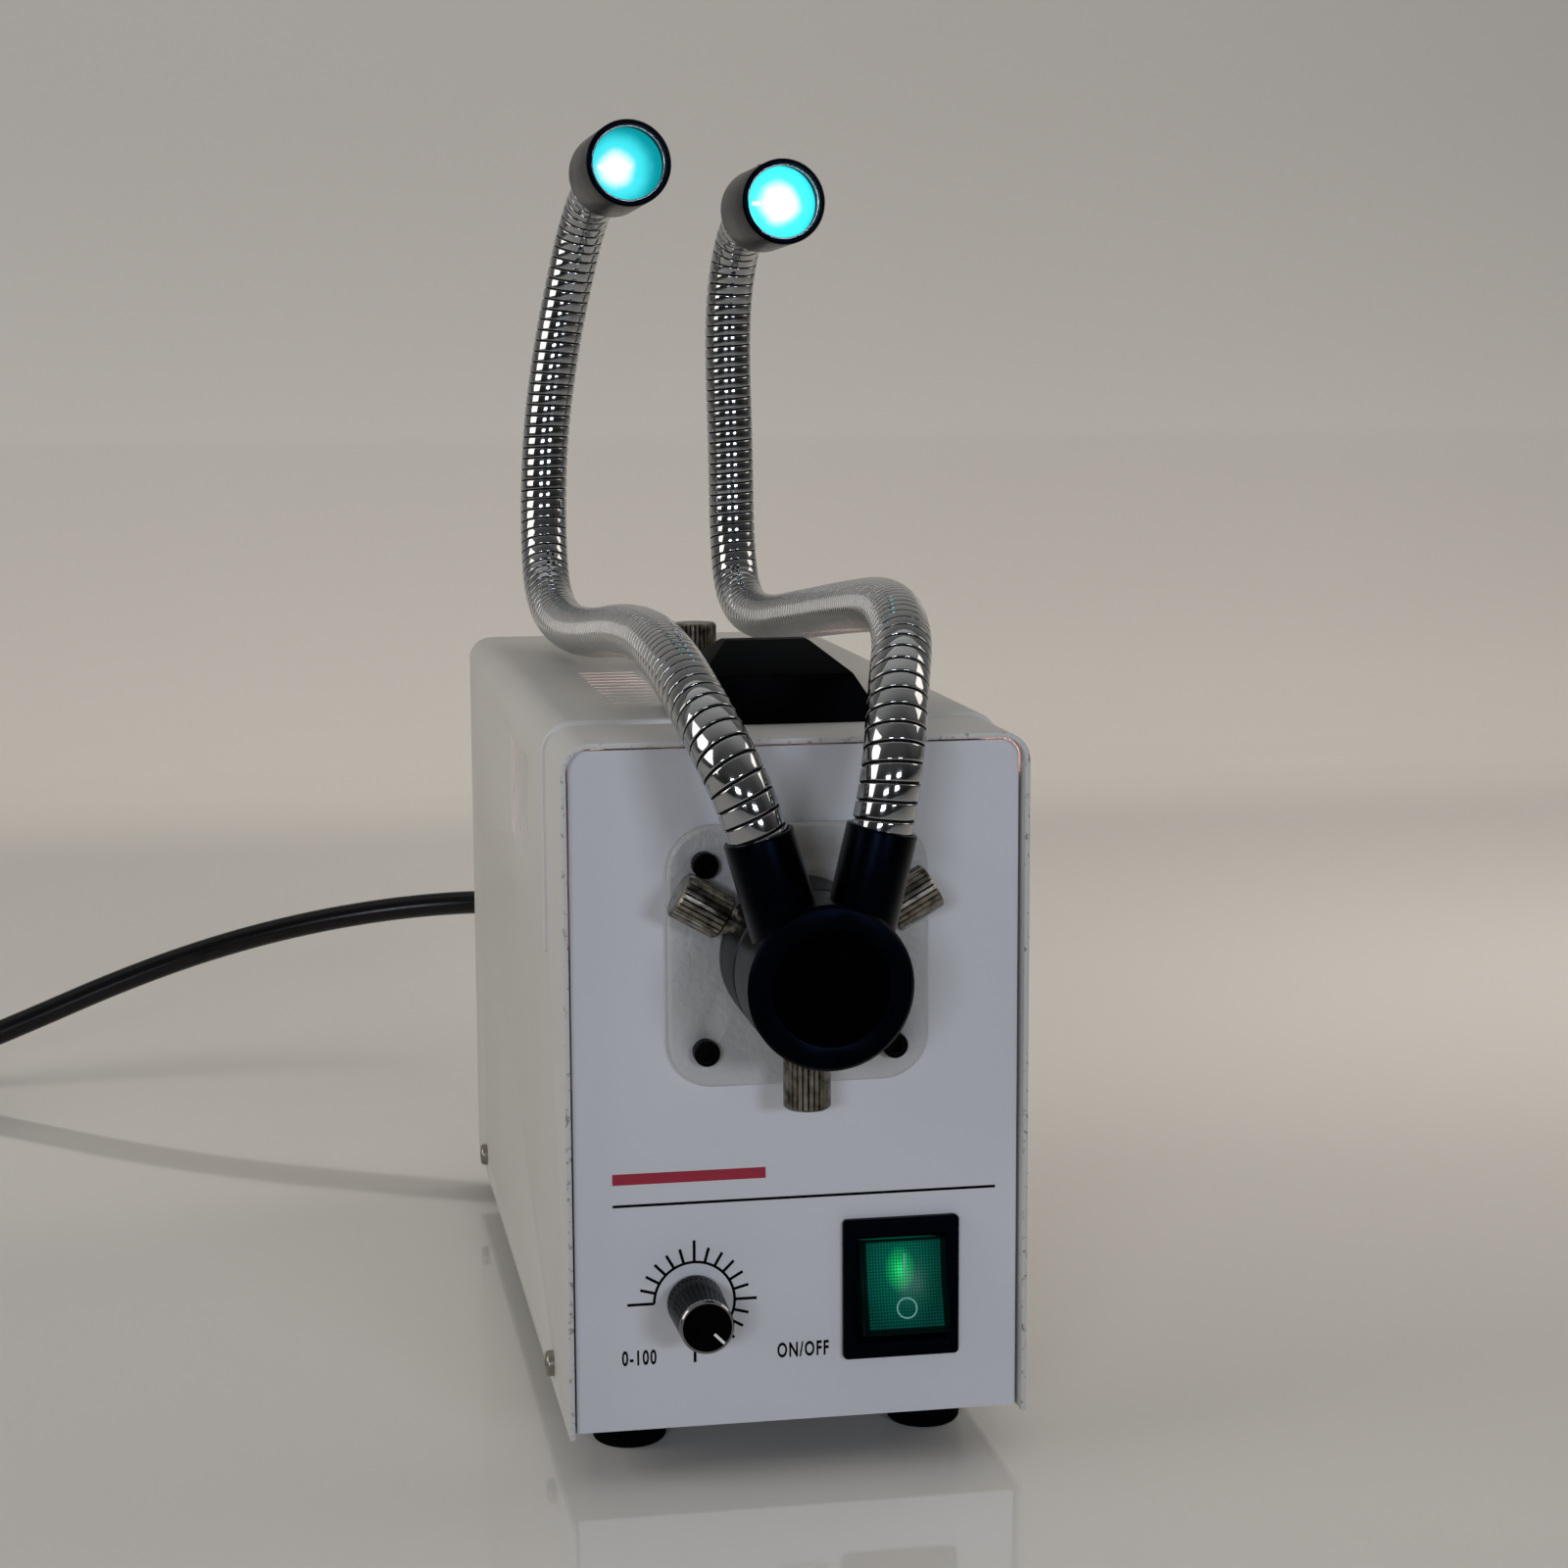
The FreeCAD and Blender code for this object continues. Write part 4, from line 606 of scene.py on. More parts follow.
@dataclass(frozen=True)
class LitRocker(Finish):
    """Clear green ABS over a neon lamp, with a fine square prism grid inside.

    The pitch is the space between prisms, and the glow reaches out from the
    lamp, all in millimetres.  The grid fills a window in the face, given by
    its left, right, lower and upper edges, and the walls round it stay dark.
    """

    pitch: float = 0.65
    glow_at: Point = (21.5, -109.0, 43.9)
    glow_reach: float = 10.0
    glow_shape: Point = (1.1, 0.4, 0.75)
    glow: Tuple[Tuple[float, str], ...] = (
        (0.0, "#25dc78"), (0.16, "#0fa35c"), (0.38, "#045444"), (1.0, "#03352d"),
    )
    strength: float = 1.15
    window: Tuple[float, float, float, float] = (14.2, 30.6, 31.9, 49.7)
    window_blur: float = 0.08
    wall_light: float = 0.05

    def dress(self, tree: bpy.types.NodeTree, shader: bpy.types.Node) -> None:
        """Grid of prisms, and a glow that fades away from the lamp.

        Args:
            tree: The material's node tree.
            shader: Its Principled BSDF node.
        """
        super().dress(tree, shader)
        place = add_node(tree, "TexCoord").outputs["Object"]
        lamp = tuple(v * MM for v in self.glow_at)
        away = add_node(tree, "VectorMath", {0: place, 1: lamp}, operation="SUBTRACT")
        far = add_node(tree, "VectorMath", {0: away.outputs[0], 1: self.glow_shape}, operation="MULTIPLY")
        reach = add_node(tree, "VectorMath", {0: far.outputs[0]}, operation="LENGTH")
        reached = {"Value": reach.outputs["Value"], "From Max": self.glow_reach * MM}
        scale = add_node(tree, "MapRange", reached)
        ramp = add_node(tree, "ValToRGB", {0: scale.outputs[0]})
        ends = ramp.color_ramp.elements
        ends[0].color, ends[1].color = linear(self.glow[0][1]), linear(self.glow[-1][1])
        for position, code in self.glow[1:-1]:
            ends.new(position).color = linear(code)
        axes = add_node(tree, "SeparateXYZ", {0: place})
        framed = self.framed(tree, axes, ramp.outputs[0])
        tree.links.new(self.cells(tree, place, framed), shader.inputs["Emission Color"])
        shader.inputs["Emission Strength"].default_value = self.strength

    def framed(
        self, tree: bpy.types.NodeTree, axes: bpy.types.Node, color: bpy.types.NodeSocket
    ) -> bpy.types.NodeSocket:
        """Darken a colour outside the grid's window.

        Args:
            tree: The node tree.
            axes: Separated object coordinates.
            color: The colour.

        Returns:
            The colour with its dark frame.
        """
        left, right, lower, upper = self.window
        result = color
        for axis, limit, blur in (
            (0, left, -self.window_blur), (0, right, self.window_blur),
            (2, lower, -self.window_blur), (2, upper, self.window_blur),
        ):
            start, end = (limit - blur) * MM, (limit + blur) * MM
            out = add_node(
                tree, "MapRange",
                {"Value": axes.outputs[axis], "From Min": start, "From Max": end, "To Min": 1.0,
                 "To Max": self.wall_light},
            )
            scaled = {0: result, "Scale": out.outputs[0]}
            result = add_node(tree, "VectorMath", scaled, operation="SCALE").outputs[0]
        return result

    def cells(
        self, tree: bpy.types.NodeTree, place: bpy.types.NodeSocket, color: bpy.types.NodeSocket
    ) -> bpy.types.NodeSocket:
        """Darken a colour along the lines of the grid.

        Args:
            tree: The node tree.
            place: Object coordinates.
            color: The colour.

        Returns:
            The colour with its grid.
        """
        bands = 100 * math.pi / self.pitch
        dark = color
        for turn in ("X", "Z"):
            pattern = {"Vector": place, "Scale": bands, "Distortion": 0.0}
            wave = add_node(tree, "TexWave", pattern, bands_direction=turn).outputs["Fac"]
            line = add_node(tree, "MapRange", {"Value": wave, "From Max": 0.6, "To Min": 0.45, "To Max": 1.1})
            scaled = {0: dark, "Scale": line.outputs[0]}
            dark = add_node(tree, "VectorMath", scaled, operation="SCALE").outputs[0]
        return dark


@dataclass(frozen=True)
class LitLens(Finish):
    """Glass lens with the end of the glowing fibre bundle behind it.

    The bundle sits off the lens's axis, so its bright image does too.  Centre,
    shift and radius are in millimetres, and glow has shares of the radius.
    Cloud is how many uneven patches of light go to a metre, and uneven is how
    far they push the glow in or out.
    """

    centre: Point = (0.0, 0.0, 0.0)
    shift: Point = (-2.6, 0.0, -1.2)
    radius: float = 13.0
    strength: float = 3.0
    glow: Tuple[Tuple[float, str], ...] = ((0.18, "#f6ffff"), (0.45, "#3fe2ec"), (0.85, "#07909a"))
    cloud: float = 180.0
    uneven: float = 0.07

    def dress(self, tree: bpy.types.NodeTree, shader: bpy.types.Node) -> None:
        """White light round the bundle's image that turns cyan, then teal.

        Args:
            tree: The material's node tree.
            shader: Its Principled BSDF node.
        """
        place = add_node(tree, "TexCoord").outputs["Object"]
        source = tuple((c + d) * MM for c, d in zip(self.centre, self.shift))
        away = add_node(tree, "VectorMath", {0: place, 1: source}, operation="SUBTRACT")
        reach = add_node(tree, "VectorMath", {0: away.outputs[0]}, operation="LENGTH")
        part = add_node(tree, "MapRange", {"Value": reach.outputs["Value"], "From Max": self.radius * MM})
        noise = {"Vector": place, "Scale": self.cloud, "Detail": 2.0}
        cloud = add_node(tree, "TexNoise", noise).outputs["Fac"]
        uneven = add_node(tree, "MapRange", {"Value": cloud, "To Min": -self.uneven, "To Max": self.uneven})
        mixed = add_node(tree, "Math", {0: part.outputs[0], 1: uneven.outputs[0]}, operation="ADD")
        ramp = add_node(tree, "ValToRGB", {0: mixed.outputs[0]})
        ramp.color_ramp.interpolation = "EASE"
        ends = ramp.color_ramp.elements
        for end, (position, code) in ((ends[0], self.glow[0]), (ends[1], self.glow[-1])):
            end.position, end.color = position, linear(code)
        for position, code in self.glow[1:-1]:
            ends.new(position).color = linear(code)
        tree.links.new(ramp.outputs[0], shader.inputs["Emission Color"])
        shader.inputs["Emission Strength"].default_value = self.strength
        shader.inputs["Base Color"].default_value = linear(self.color)
        shader.inputs["Roughness"].default_value = self.roughness


@dataclass(frozen=True)
class ClearGlass(Finish):
    """Tinted clear glass, faintly uneven."""

    clearness: float = 0.9

    def dress(self, tree: bpy.types.NodeTree, shader: bpy.types.Node) -> None:
        """Transmission with the finish's own tint and relief."""
        super().dress(tree, shader)
        shader.inputs["Transmission Weight"].default_value = self.clearness


@dataclass(frozen=True)
class Glowing(Finish):
    """Part that the burning halogen lamp makes glow."""

    glow: str = "#ffc9b8"
    strength: float = 90.0

    def dress(self, tree: bpy.types.NodeTree, shader: bpy.types.Node) -> None:
        """Warm light of the lamp from the whole surface.

        Args:
            tree: The material's node tree.
            shader: Its Principled BSDF node.
        """
        super().dress(tree, shader)
        shader.inputs["Emission Color"].default_value = linear(self.glow)
        shader.inputs["Emission Strength"].default_value = self.strength


# Powder coat on sheet steel: satin, with soft pebbles that break up the highlight.
COVER = PowderCoat("powder_coat_white", "#cfcdc8", 0.46, grain=0.6, relief=0.02, tone=38, spread=0.03)
# The same coat on the rear wall, where no darkened front edge shows.
REAR = replace(COVER, name="powder_coat_rear", edge_y=NO_EDGE_Y)
# Wrinkle coat: coarser pebbles, a little glossier.
PLATE = PowderCoat("wrinkle_coat_white", "#bcbcbb", 0.34, grain=1.5, relief=0.24, tone=20, spread=0.03,
                   edge_y=NO_EDGE_Y)
# Back printed polyester sheet: smooth, with the faint orange peel of its glue.
PANEL = PowderCoat("printed_polyester_white", "#d3d4d6", 0.3, grain=2.5, relief=0.004, tone=60, spread=0.008,
                   rough_spread=0.01, edge_y=NO_EDGE_Y, edge_and_speck_color="#8d8a84")
# Zinc plated sheet: dull metal with cloudy patches.
ZINC = Finish("zinc_plated_sheet", "#8a8b88", 0.38, 1.0, grain=1.2, relief=0.008, tone=9, spread=0.12)
# Nickel plated machine screw: bright, slightly yellow.
SCREW = Finish("nickel_plated_screw", "#a39d92", 0.32, 1.0, grain=0.6, relief=0.01, tone=2.5, spread=0.2)
# Chromed wire: a bright mirror with slight waves.
WIRE = Finish("chromed_wire", "#c8c9cb", 0.16, 1.0, grain=0.8, relief=0.004, tone=6, spread=0.06)
# Black oxide: dark satin steel.
OXIDE = Finish("black_oxide_steel", "#020203", 0.35, ior=1.35, gloss=0.08, grain=0.3, tone=2, spread=0.15)
# Nickel plate gone dull: grey metal with brown patches.
NICKEL = Knurled("dulled_nickel_plate", "#8a8479", 0.34, 1.0, grain=0.3, relief=0.015, tone=3, spread=0.18)
# Black anodising: the oxide takes nearly all light, edges catch a soft blue sheen.
ANODISED = Finish("black_anodised_aluminium", "#04070e", 0.34, 1.0, grain=0.25, relief=0.006, tone=5,
                  spread=0.1)
# Black anodising on the hub's flat cap: duller than the rest, and without the blue.
CAP = Finish("black_anodised_cap", "#020203", 0.42, 1.0, grain=0.25, relief=0.006, tone=5, spread=0.1)
# Grey anodising over turning marks: dark satin metal.
COLLAR = Finish("grey_anodised_aluminium", "#23272c", 0.42, 1.0, grain=0.3, relief=0.01, tone=6, spread=0.08,
                stretch=(1.0, 6.0, 1.0))
# Polished stainless strip: a bright mirror, very slightly uneven.
HOSE = Finish("polished_stainless_strip", "#b2b4b6", 0.08, 1.0, grain=0.9, relief=0.003, tone=7, spread=0.1,
              rough_spread=0.03)
# Painted shade in the groove between the turns of the hose: nearly black.
SEAM = Finish("hose_seam_painted_shade", "#0b0b0c", 0.6, gloss=0.1, grain=0.4, tone=2, spread=0.2)
# Black rubber: matt, with a fine mould texture.
RUBBER = Finish("moulded_black_rubber", "#030304", 0.75, ior=1.3, gloss=0.05, tone=5, spread=0.12)
# Moulded ABS: fine spark texture, satin.
ABS = Finish("black_moulded_abs", "#020305", ior=1.35, gloss=0.04, grain=0.35, relief=0.012, tone=6,
             spread=0.1)
# Moulded nylon: deep black with a cold sheen.
SWITCH_BLACK = Finish("black_nylon_bezel", "#01040c", 0.4, ior=1.35, gloss=0.03, grain=0.4, relief=0.006,
                      tone=5, spread=0.1)
# Phenolic resin: glossy black, hard edged highlights.
KNOB = Finish("black_phenolic_knob", "#010102", 0.22, ior=1.4, gloss=0.04, relief=0.004, tone=4, spread=0.1)
# Diamond turned aluminium: a sharp mirror, mid grey.
KNOB_SILVER = Finish("bright_turned_ring", "#8a8a8b", 0.12, 1.0, grain=0.4, relief=0.003, tone=3, spread=0.05)
# Soft PVC: black with a long soft highlight.
PVC = Finish("black_pvc_cord", "#030305", 0.28, gloss=0.3, grain=1.0, tone=14, spread=0.1)
# Clear green ABS: a smooth skin over a fine lit grid, brightest over the lamp.
ROCKER = LitRocker("clear_green_rocker", "#010d0b", 0.16, ior=1.35, gloss=0.05, grain=0.65, relief=0.003,
                   tone=6, spread=0.08)
# Screen ink: matt black, opaque.
INK = Finish("black_screen_ink", "#010102", 0.6, ior=1.3, gloss=0.05, grain=0.3, relief=0.003, tone=2,
             spread=0.1)
# Crimson screen ink: the same film with a soft satin gloss.
RED_INK = Finish("crimson_screen_ink", "#a01030", 0.42, grain=0.3, relief=0.003, tone=3, spread=0.1)
# Pad printed mark on the clear rocker: pale, tinted by the green under it.
PALE_MARK = Finish("pale_pad_print", "#7dc0b0", 0.4, grain=0.3, relief=0.003, tone=2, spread=0.05)
# White paint wiped into the knob's groove.
POINTER = Finish("white_groove_paint", "#f1f1ec", 0.45, grain=0.3, relief=0.003, tone=2, spread=0.04)
# Extruded aluminium: pale satin metal, drawn along its length.
BARE = Finish("extruded_aluminium", "#c6c7c8", 0.34, 1.0, grain=0.4, tone=8, spread=0.06,
              stretch=(1.0, 1.0, 0.1))
# Varnished steel laminations: dark, with the fine lines of the stack.
CORE = Finish("varnished_laminations", "#26211d", 0.45, 0.4, relief=0.12, tone=6, spread=0.15,
              stretch=(0.02, 1.0, 0.02))
# Polyester tape: yellow and slightly glossy, wrinkled where it laps.
TAPE = Finish("yellow_winding_tape", "#c7a12c", 0.4, grain=2.0, relief=0.03, tone=8, spread=0.1, coat=0.2)
# Glass fibre laminate under solder mask: green with a weave under the gloss.
BOARD = Finish("green_board_laminate", "#1c5a34", 0.35, grain=0.4, tone=4, spread=0.15, coat=0.2)
# Steatite: unglazed cream ceramic, chalky.
CERAMIC = Finish("steatite_ceramic", "#dcd6c6", 0.6, grain=0.3, tone=5)
# Polished fibre ends: pale glass speckled with the fibres, drawn 0.6 mm across so that they show.
FIBRES = Finish("polished_fibre_end", "#cfe4e6", 0.2, grain=0.1, tone=0.6, spread=0.15)
# Heat absorbing glass: clear, with a faint green cast.
FILTER = ClearGlass("heat_filter_glass", "#cfe6da", 0.05, grain=8, relief=0.002, tone=20, spread=0.02)
# Dichroic film on dimpled glass: it lets the lamp's warm light through, so its back glows pink.
DICHROIC = Glowing("dichroic_reflector", "#d9b8d8", 0.12, grain=3.0, relief=0.03, tone=8, spread=0.12,
                   glow="#ffd0c2", strength=6.5)
# Fused quartz round a burning filament: all of it glows, warm and very bright.
QUARTZ = Glowing("burning_quartz", "#fff1e6", 0.1, grain=2, relief=0.002, tone=4, spread=0.02)
# Lens glass over the lit fibres: a white spot that turns cyan, then teal at the rim.
LENS_LEFT = LitLens("lit_lens_left", "#0a4a50", 0.08, strength=1.1)
LENS_RIGHT = LitLens("lit_lens_right", "#0a4a50", 0.08, shift=(-0.6, 0.0, -0.2), radius=15.0, strength=1.6)

NODE_FINISH: Dict[str, Finish] = {
    "rear_panel": REAR, "front_overlay": PANEL, "base_chassis": ZINC, "lamp_deck": ZINC,
    "lamp_bracket": ZINC, "cover_screws": SCREW, "foot_screws": SCREW, "fan_screws": SCREW,
    "potentiometer_nut": SCREW, "potentiometer_shaft": SCREW, "plug_blades": SCREW,
    "port_plate_screws": OXIDE, "thumbscrew_left": NICKEL, "thumbscrew_right": NICKEL,
    "thumbscrew_bottom": NICKEL, "top_thumbscrew": NICKEL, "dimmer_potentiometer": ABS, "fan_frame": ABS,
    "fan_rotor": ABS, "fuse_holder": ABS, "fuse_cap": ABS, "strain_relief": PVC, "guide_ferrule": BARE,
    "fibre_bundle": FIBRES, "heat_filter": FILTER, "lamp_reflector": DICHROIC, "lamp_capsule": QUARTZ,
    "lamp_socket": CERAMIC, "transformer_core": CORE, "transformer_winding": TAPE, "dimmer_board": BOARD,
    "triac_heat_sink": BARE, "brightness_knob": KNOB, "knob_ring": KNOB_SILVER,
}


def place_piece(
    obj: bpy.types.Object,
    name: str,
    body: str,
    finishes: Sequence[Finish],
    replaces: Sequence[str] = (),
) -> bpy.types.Object:
    """Name a finished piece, dress it, and let it ride on its body.

    Args:
        obj: The piece, in its place.
        name: Its plain name.
        body: The body that it rides on.
        finishes: Its finishes, in the order of its material slots.
        replaces: CAD nodes that it stands for.

    Returns:
        The same object.
    """
    obj.name = name
    obj.data.name = name
    obj.data.materials.clear()
    for finish in finishes:
        obj.data.materials.append(finish.material())
    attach(obj, body)
    if replaces:
        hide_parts(*replaces)
    log.info("piece %s on %s", name, body)
    return obj


# --- Studio and mains cord ----------------------------------------------------------


@dataclass(frozen=True)
class Lamp:
    """A soft rectangular light: its place, target and size in metres, its power and colour.

    Glossy says whether the object mirrors it.
    """

    name: str
    place: Point
    target: Point
    size: Tuple[float, float]
    watts: float
    color: str
    glossy: bool = True


@dataclass
class Studio:
    """Camera, lights and floor, none of them part of the object.

    Walls and ceiling are how bright the room is low down and overhead, and
    front is how much of that is left ahead of the object.  The table's width
    and middle, the backdrop's height and the cove between them are in metres.
    """

    eye: Point = (-0.11351, -0.71629, 0.23844)
    turn: Point = (1.42860761, 0.00464747, -0.18013073)
    focal: float = 68.61
    walls: float = 0.09
    ceiling: float = 0.62
    front: float = 0.25
    sky: str = "#f2f1ee"
    table_size: float = 7.0
    table_y: float = -1.9
    backdrop: float = 3.5
    cove: float = 0.7
    lamps: Tuple[Lamp, ...] = (
        Lamp("soft_box_left", (-1.7, -0.2, 0.75), (0, 0, 0.1), (1.1, 0.9), 9.0, "#fffaf4"),
        Lamp("soft_box_right", (1.5, 0.1, 0.9), (0, 0, 0.1), (0.7, 0.7), 3.0, "#fff6ea"),
        Lamp("window_left", (-0.95, -2.5, 0.6), (0, 0, 0.2), (0.6, 0.26), 13.5, "#e6eeff"),
        Lamp("window_right", (0.75, -2.6, 0.6), (0, 0, 0.2), (0.6, 0.26), 12.5, "#e6eeff"),
        Lamp("wall_wash", (0.35, 0.85, 0.25), (0.35, 1.45, 0.0), (2.2, 0.1), 1.1, "#ffefdf"),
        Lamp("wall_lamp", (-0.3, 0.4, 1.35), (-0.2, 1.6, 0.7), (1.5, 0.5), 0.6, "#fff6ee"),
        Lamp("table_wash", (0.5, 0.3, 0.4), (0.42, 0.42, 0.0), (0.5, 0.3), 0.9, "#fff1e2", glossy=False),
    )
    table: Optional[bpy.types.Object] = None

    def camera(self) -> None:
        """Put the camera in place and make it the scene's own."""
        data = bpy.data.cameras.new("view")
        data.sensor_width = 36.0
        data.sensor_fit = "HORIZONTAL"
        data.lens = self.focal
        obj = bpy.data.objects.new("view", data)
        obj.location = self.eye
        obj.rotation_euler = self.turn
        bpy.context.scene.collection.objects.link(obj)
        bpy.context.scene.camera = obj

    def floor(self) -> None:
        """Glossy pale table top that curves up into a plain backdrop."""
        bpy.ops.mesh.primitive_plane_add(size=self.table_size, location=(0, self.table_y, 0))
        obj = settle(bpy.context.object)
        with editing(obj, "EDGE"):
            bpy.ops.mesh.select_all(action="DESELECT")
        for edge in obj.data.edges:
            ends = [obj.data.vertices[i].co for i in edge.vertices]
            edge.select = all(p.y > 0 for p in ends)
        with editing(obj, "EDGE"):
            bpy.ops.mesh.extrude_region_move(TRANSFORM_OT_translate={"value": (0, 0, self.backdrop)})
        bend = obj.modifiers.new("cove", "BEVEL")
        bend.width = self.cove
        bend.segments = 16
        apply_modifiers(obj)
        smooth(obj, 60)
        obj.name = "table_and_backdrop"
        table = Finish("pale_table_top", "#ebe8e2", 0.05, ior=1.6, gloss=0.9, grain=30, relief=0.0, tone=500,
                       spread=0.01, rough_spread=0.005)
        obj.data.materials.append(table.material())
        self.table = obj

    def hang(self, lamp: Lamp) -> None:
        """Hang one lamp, and its twin for the table that has no mirror image there.

        Args:
            lamp: The lamp.
        """
        aim = (Vector(lamp.target) - Vector(lamp.place)).to_track_quat("-Z", "Y").to_euler()
        for part, state, mirrored in (("", "EXCLUDE", lamp.glossy), ("_table", "INCLUDE", False)):
            data = bpy.data.lights.new(lamp.name + part, "AREA")
            data.shape = "RECTANGLE"
            data.size, data.size_y = lamp.size
            data.energy = lamp.watts
            data.color = linear(lamp.color)[:3]
            obj = bpy.data.objects.new(lamp.name + part, data)
            obj.location = lamp.place
            obj.rotation_euler = aim
            obj.visible_glossy = mirrored
            bpy.context.scene.collection.objects.link(obj)
            reach = bpy.data.collections.new(lamp.name + part + "_reach")
            reach.objects.link(self.table)
            reach.collection_objects[0].light_linking.link_state = state
            obj.light_linking.receiver_collection = reach

    def lights(self) -> None:
        """Even light from a pale room, with soft boxes beside and windows in front."""
        world = bpy.data.worlds.new("pale_room")
        world.use_nodes = True
        tree = world.node_tree
        axes = add_node(tree, "SeparateXYZ", {0: add_node(tree, "TexCoord").outputs["Generated"]}).outputs
        height = add_node(tree, "MapRange", {"Value": axes[2], "To Min": self.walls, "To Max": self.ceiling})
        ahead = {"Value": axes[1], "From Min": -0.6, "From Max": 0.3, "To Min": self.front}
        behind = add_node(tree, "MapRange", ahead)
        both = add_node(tree, "Math", {0: height.outputs[0], 1: behind.outputs[0]}, operation="MULTIPLY")
        sky = tree.nodes["Background"]
        sky.inputs["Color"].default_value = linear(self.sky)
        tree.links.new(both.outputs[0], sky.inputs["Strength"])
        bpy.context.scene.world = world
        for lamp in self.lamps:
            self.hang(lamp)
        bpy.context.scene.view_settings.view_transform = "Standard"


@dataclass
class MainsCord:
    """Mains cord: free run behind the case, coil, and lead into the plug.

    Each row of turns is how many turns are wound, then radius and height in
    millimetres.  So are the lead's points, with x from the coil's outer side.
    """

    route: Tuple[Point, ...] = (
        (0.026, 0.168, 0.048), (0.026, 0.196, 0.048), (0.022, 0.226, 0.0505),
        (0.009, 0.255, 0.054), (-0.012, 0.277, 0.0555), (-0.039, 0.290, 0.055),
        (-0.070, 0.2965, 0.052), (-0.101, 0.298, 0.047), (-0.131, 0.296, 0.040),
        (-0.160, 0.2915, 0.031), (-0.188, 0.2865, 0.0205), (-0.216, 0.283, 0.0105),
        (-0.240, 0.281, 0.0046),
    )
    coil_x: float = -263.0
    coil_y: float = 233.0
    outer: float = 48.0
    turns: Tuple[Tuple[float, float, float], ...] = (
        (0.0, 48.6, 4.0), (0.84, 48.6, 4.0), (1.0, 41.0, 4.0), (1.84, 41.0, 4.0), (2.0, 33.4, 4.0),
        (2.6, 33.4, 4.0), (2.84, 34.0, 11.6), (3.0, 37.2, 11.3), (3.12, 37.2, 10.8), (3.82, 37.2, 10.8),
        (3.92, 41.0, 11.7), (4.02, 44.8, 10.8), (4.84, 44.8, 10.8), (4.95, 45.4, 11.4), (5.06, 48.0, 11.9),
        (5.25, 48.8, 11.7),
    )
    lead: Tuple[Point, ...] = ((-0.4, 222.0, 10.6), (0.0, 209.0, 6.6), (0.0, 192.0, 4.9))
    steps: int = 16

    def coil_points(self) -> List[Point]:
        """Points of the coil's turns, from the outside of its lower layer.

        Returns:
            Points in metres, sixteen to a turn.
        """
        points = []
        for i in range(int(self.turns[-1][0] * self.steps) + 1):
            t = i / self.steps
            for (t0, r0, z0), (t1, r1, z1) in zip(self.turns, self.turns[1:]):
                if t0 <= t <= t1:
                    part = (t - t0) / (t1 - t0)
                    r, z = r0 + (r1 - r0) * part, z0 + (z1 - z0) * part
                    break
            a = math.pi / 2 + t * 2 * math.pi
            points.append(tuple(mm(self.coil_x + r * math.cos(a), self.coil_y + r * math.sin(a), z)))
        return points

    def build(self) -> None:
        """Make the cord as one smooth curve, with its tie and plug on it."""
        x = self.coil_x - self.outer
        lead = [tuple(mm(x + dx, y, z)) for dx, y, z in self.lead]
        points = list(self.route) + self.coil_points() + lead
        cord = spline("mains_cord", points, CORD_D / 2 * MM)
        place_piece(cord, "mains_cord", "lamp_house", [PVC], ("power_cord", "cord_coil"))
        tie = softened("cord_tie", "coil_tie", 0.3, [ABS])
        plug = softened("plug_body", "mains_plug", 1.0, [PVC])


# --- Case ------------------------------------------------------------------------


def softened(
    node: str,
    name: str,
    width: float,
    finishes: Sequence[Finish],
    segments: int = 2,
    angle: float = 32.0,
) -> bpy.types.Object:
    """Copy a CAD node with its sharp edges broken, and put it in the node's place.

    Args:
        node: The CAD node.
        name: Name of the new piece.
        width: Width of the broken edge in millimetres.
        finishes: Its finishes.
        segments: Steps across each edge.
        angle: Only edges sharper than this, in degrees, are broken.

    Returns:
        The new piece.
    """
    source = frame["nodes"][node]
    body = source["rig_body"]
    mesh = source.data.copy()
    piece = bpy.data.objects.new(name, mesh)
    bpy.context.scene.collection.objects.link(piece)
    with editing(piece, "VERT"):
        bpy.ops.mesh.select_all(action="SELECT")
        bpy.ops.mesh.remove_doubles(threshold=2e-6)
        bpy.ops.mesh.dissolve_limited(angle_limit=math.radians(0.5))
    rounding = piece.modifiers.new("broken_edge", "BEVEL")
    rounding.width = width * MM
    rounding.segments = segments
    rounding.limit_method = "ANGLE"
    rounding.angle_limit = math.radians(angle)
    rounding.use_clamp_overlap = True
    apply_modifiers(piece)
    smooth(piece, 40)
    return place_piece(piece, name, body, finishes, (node,))


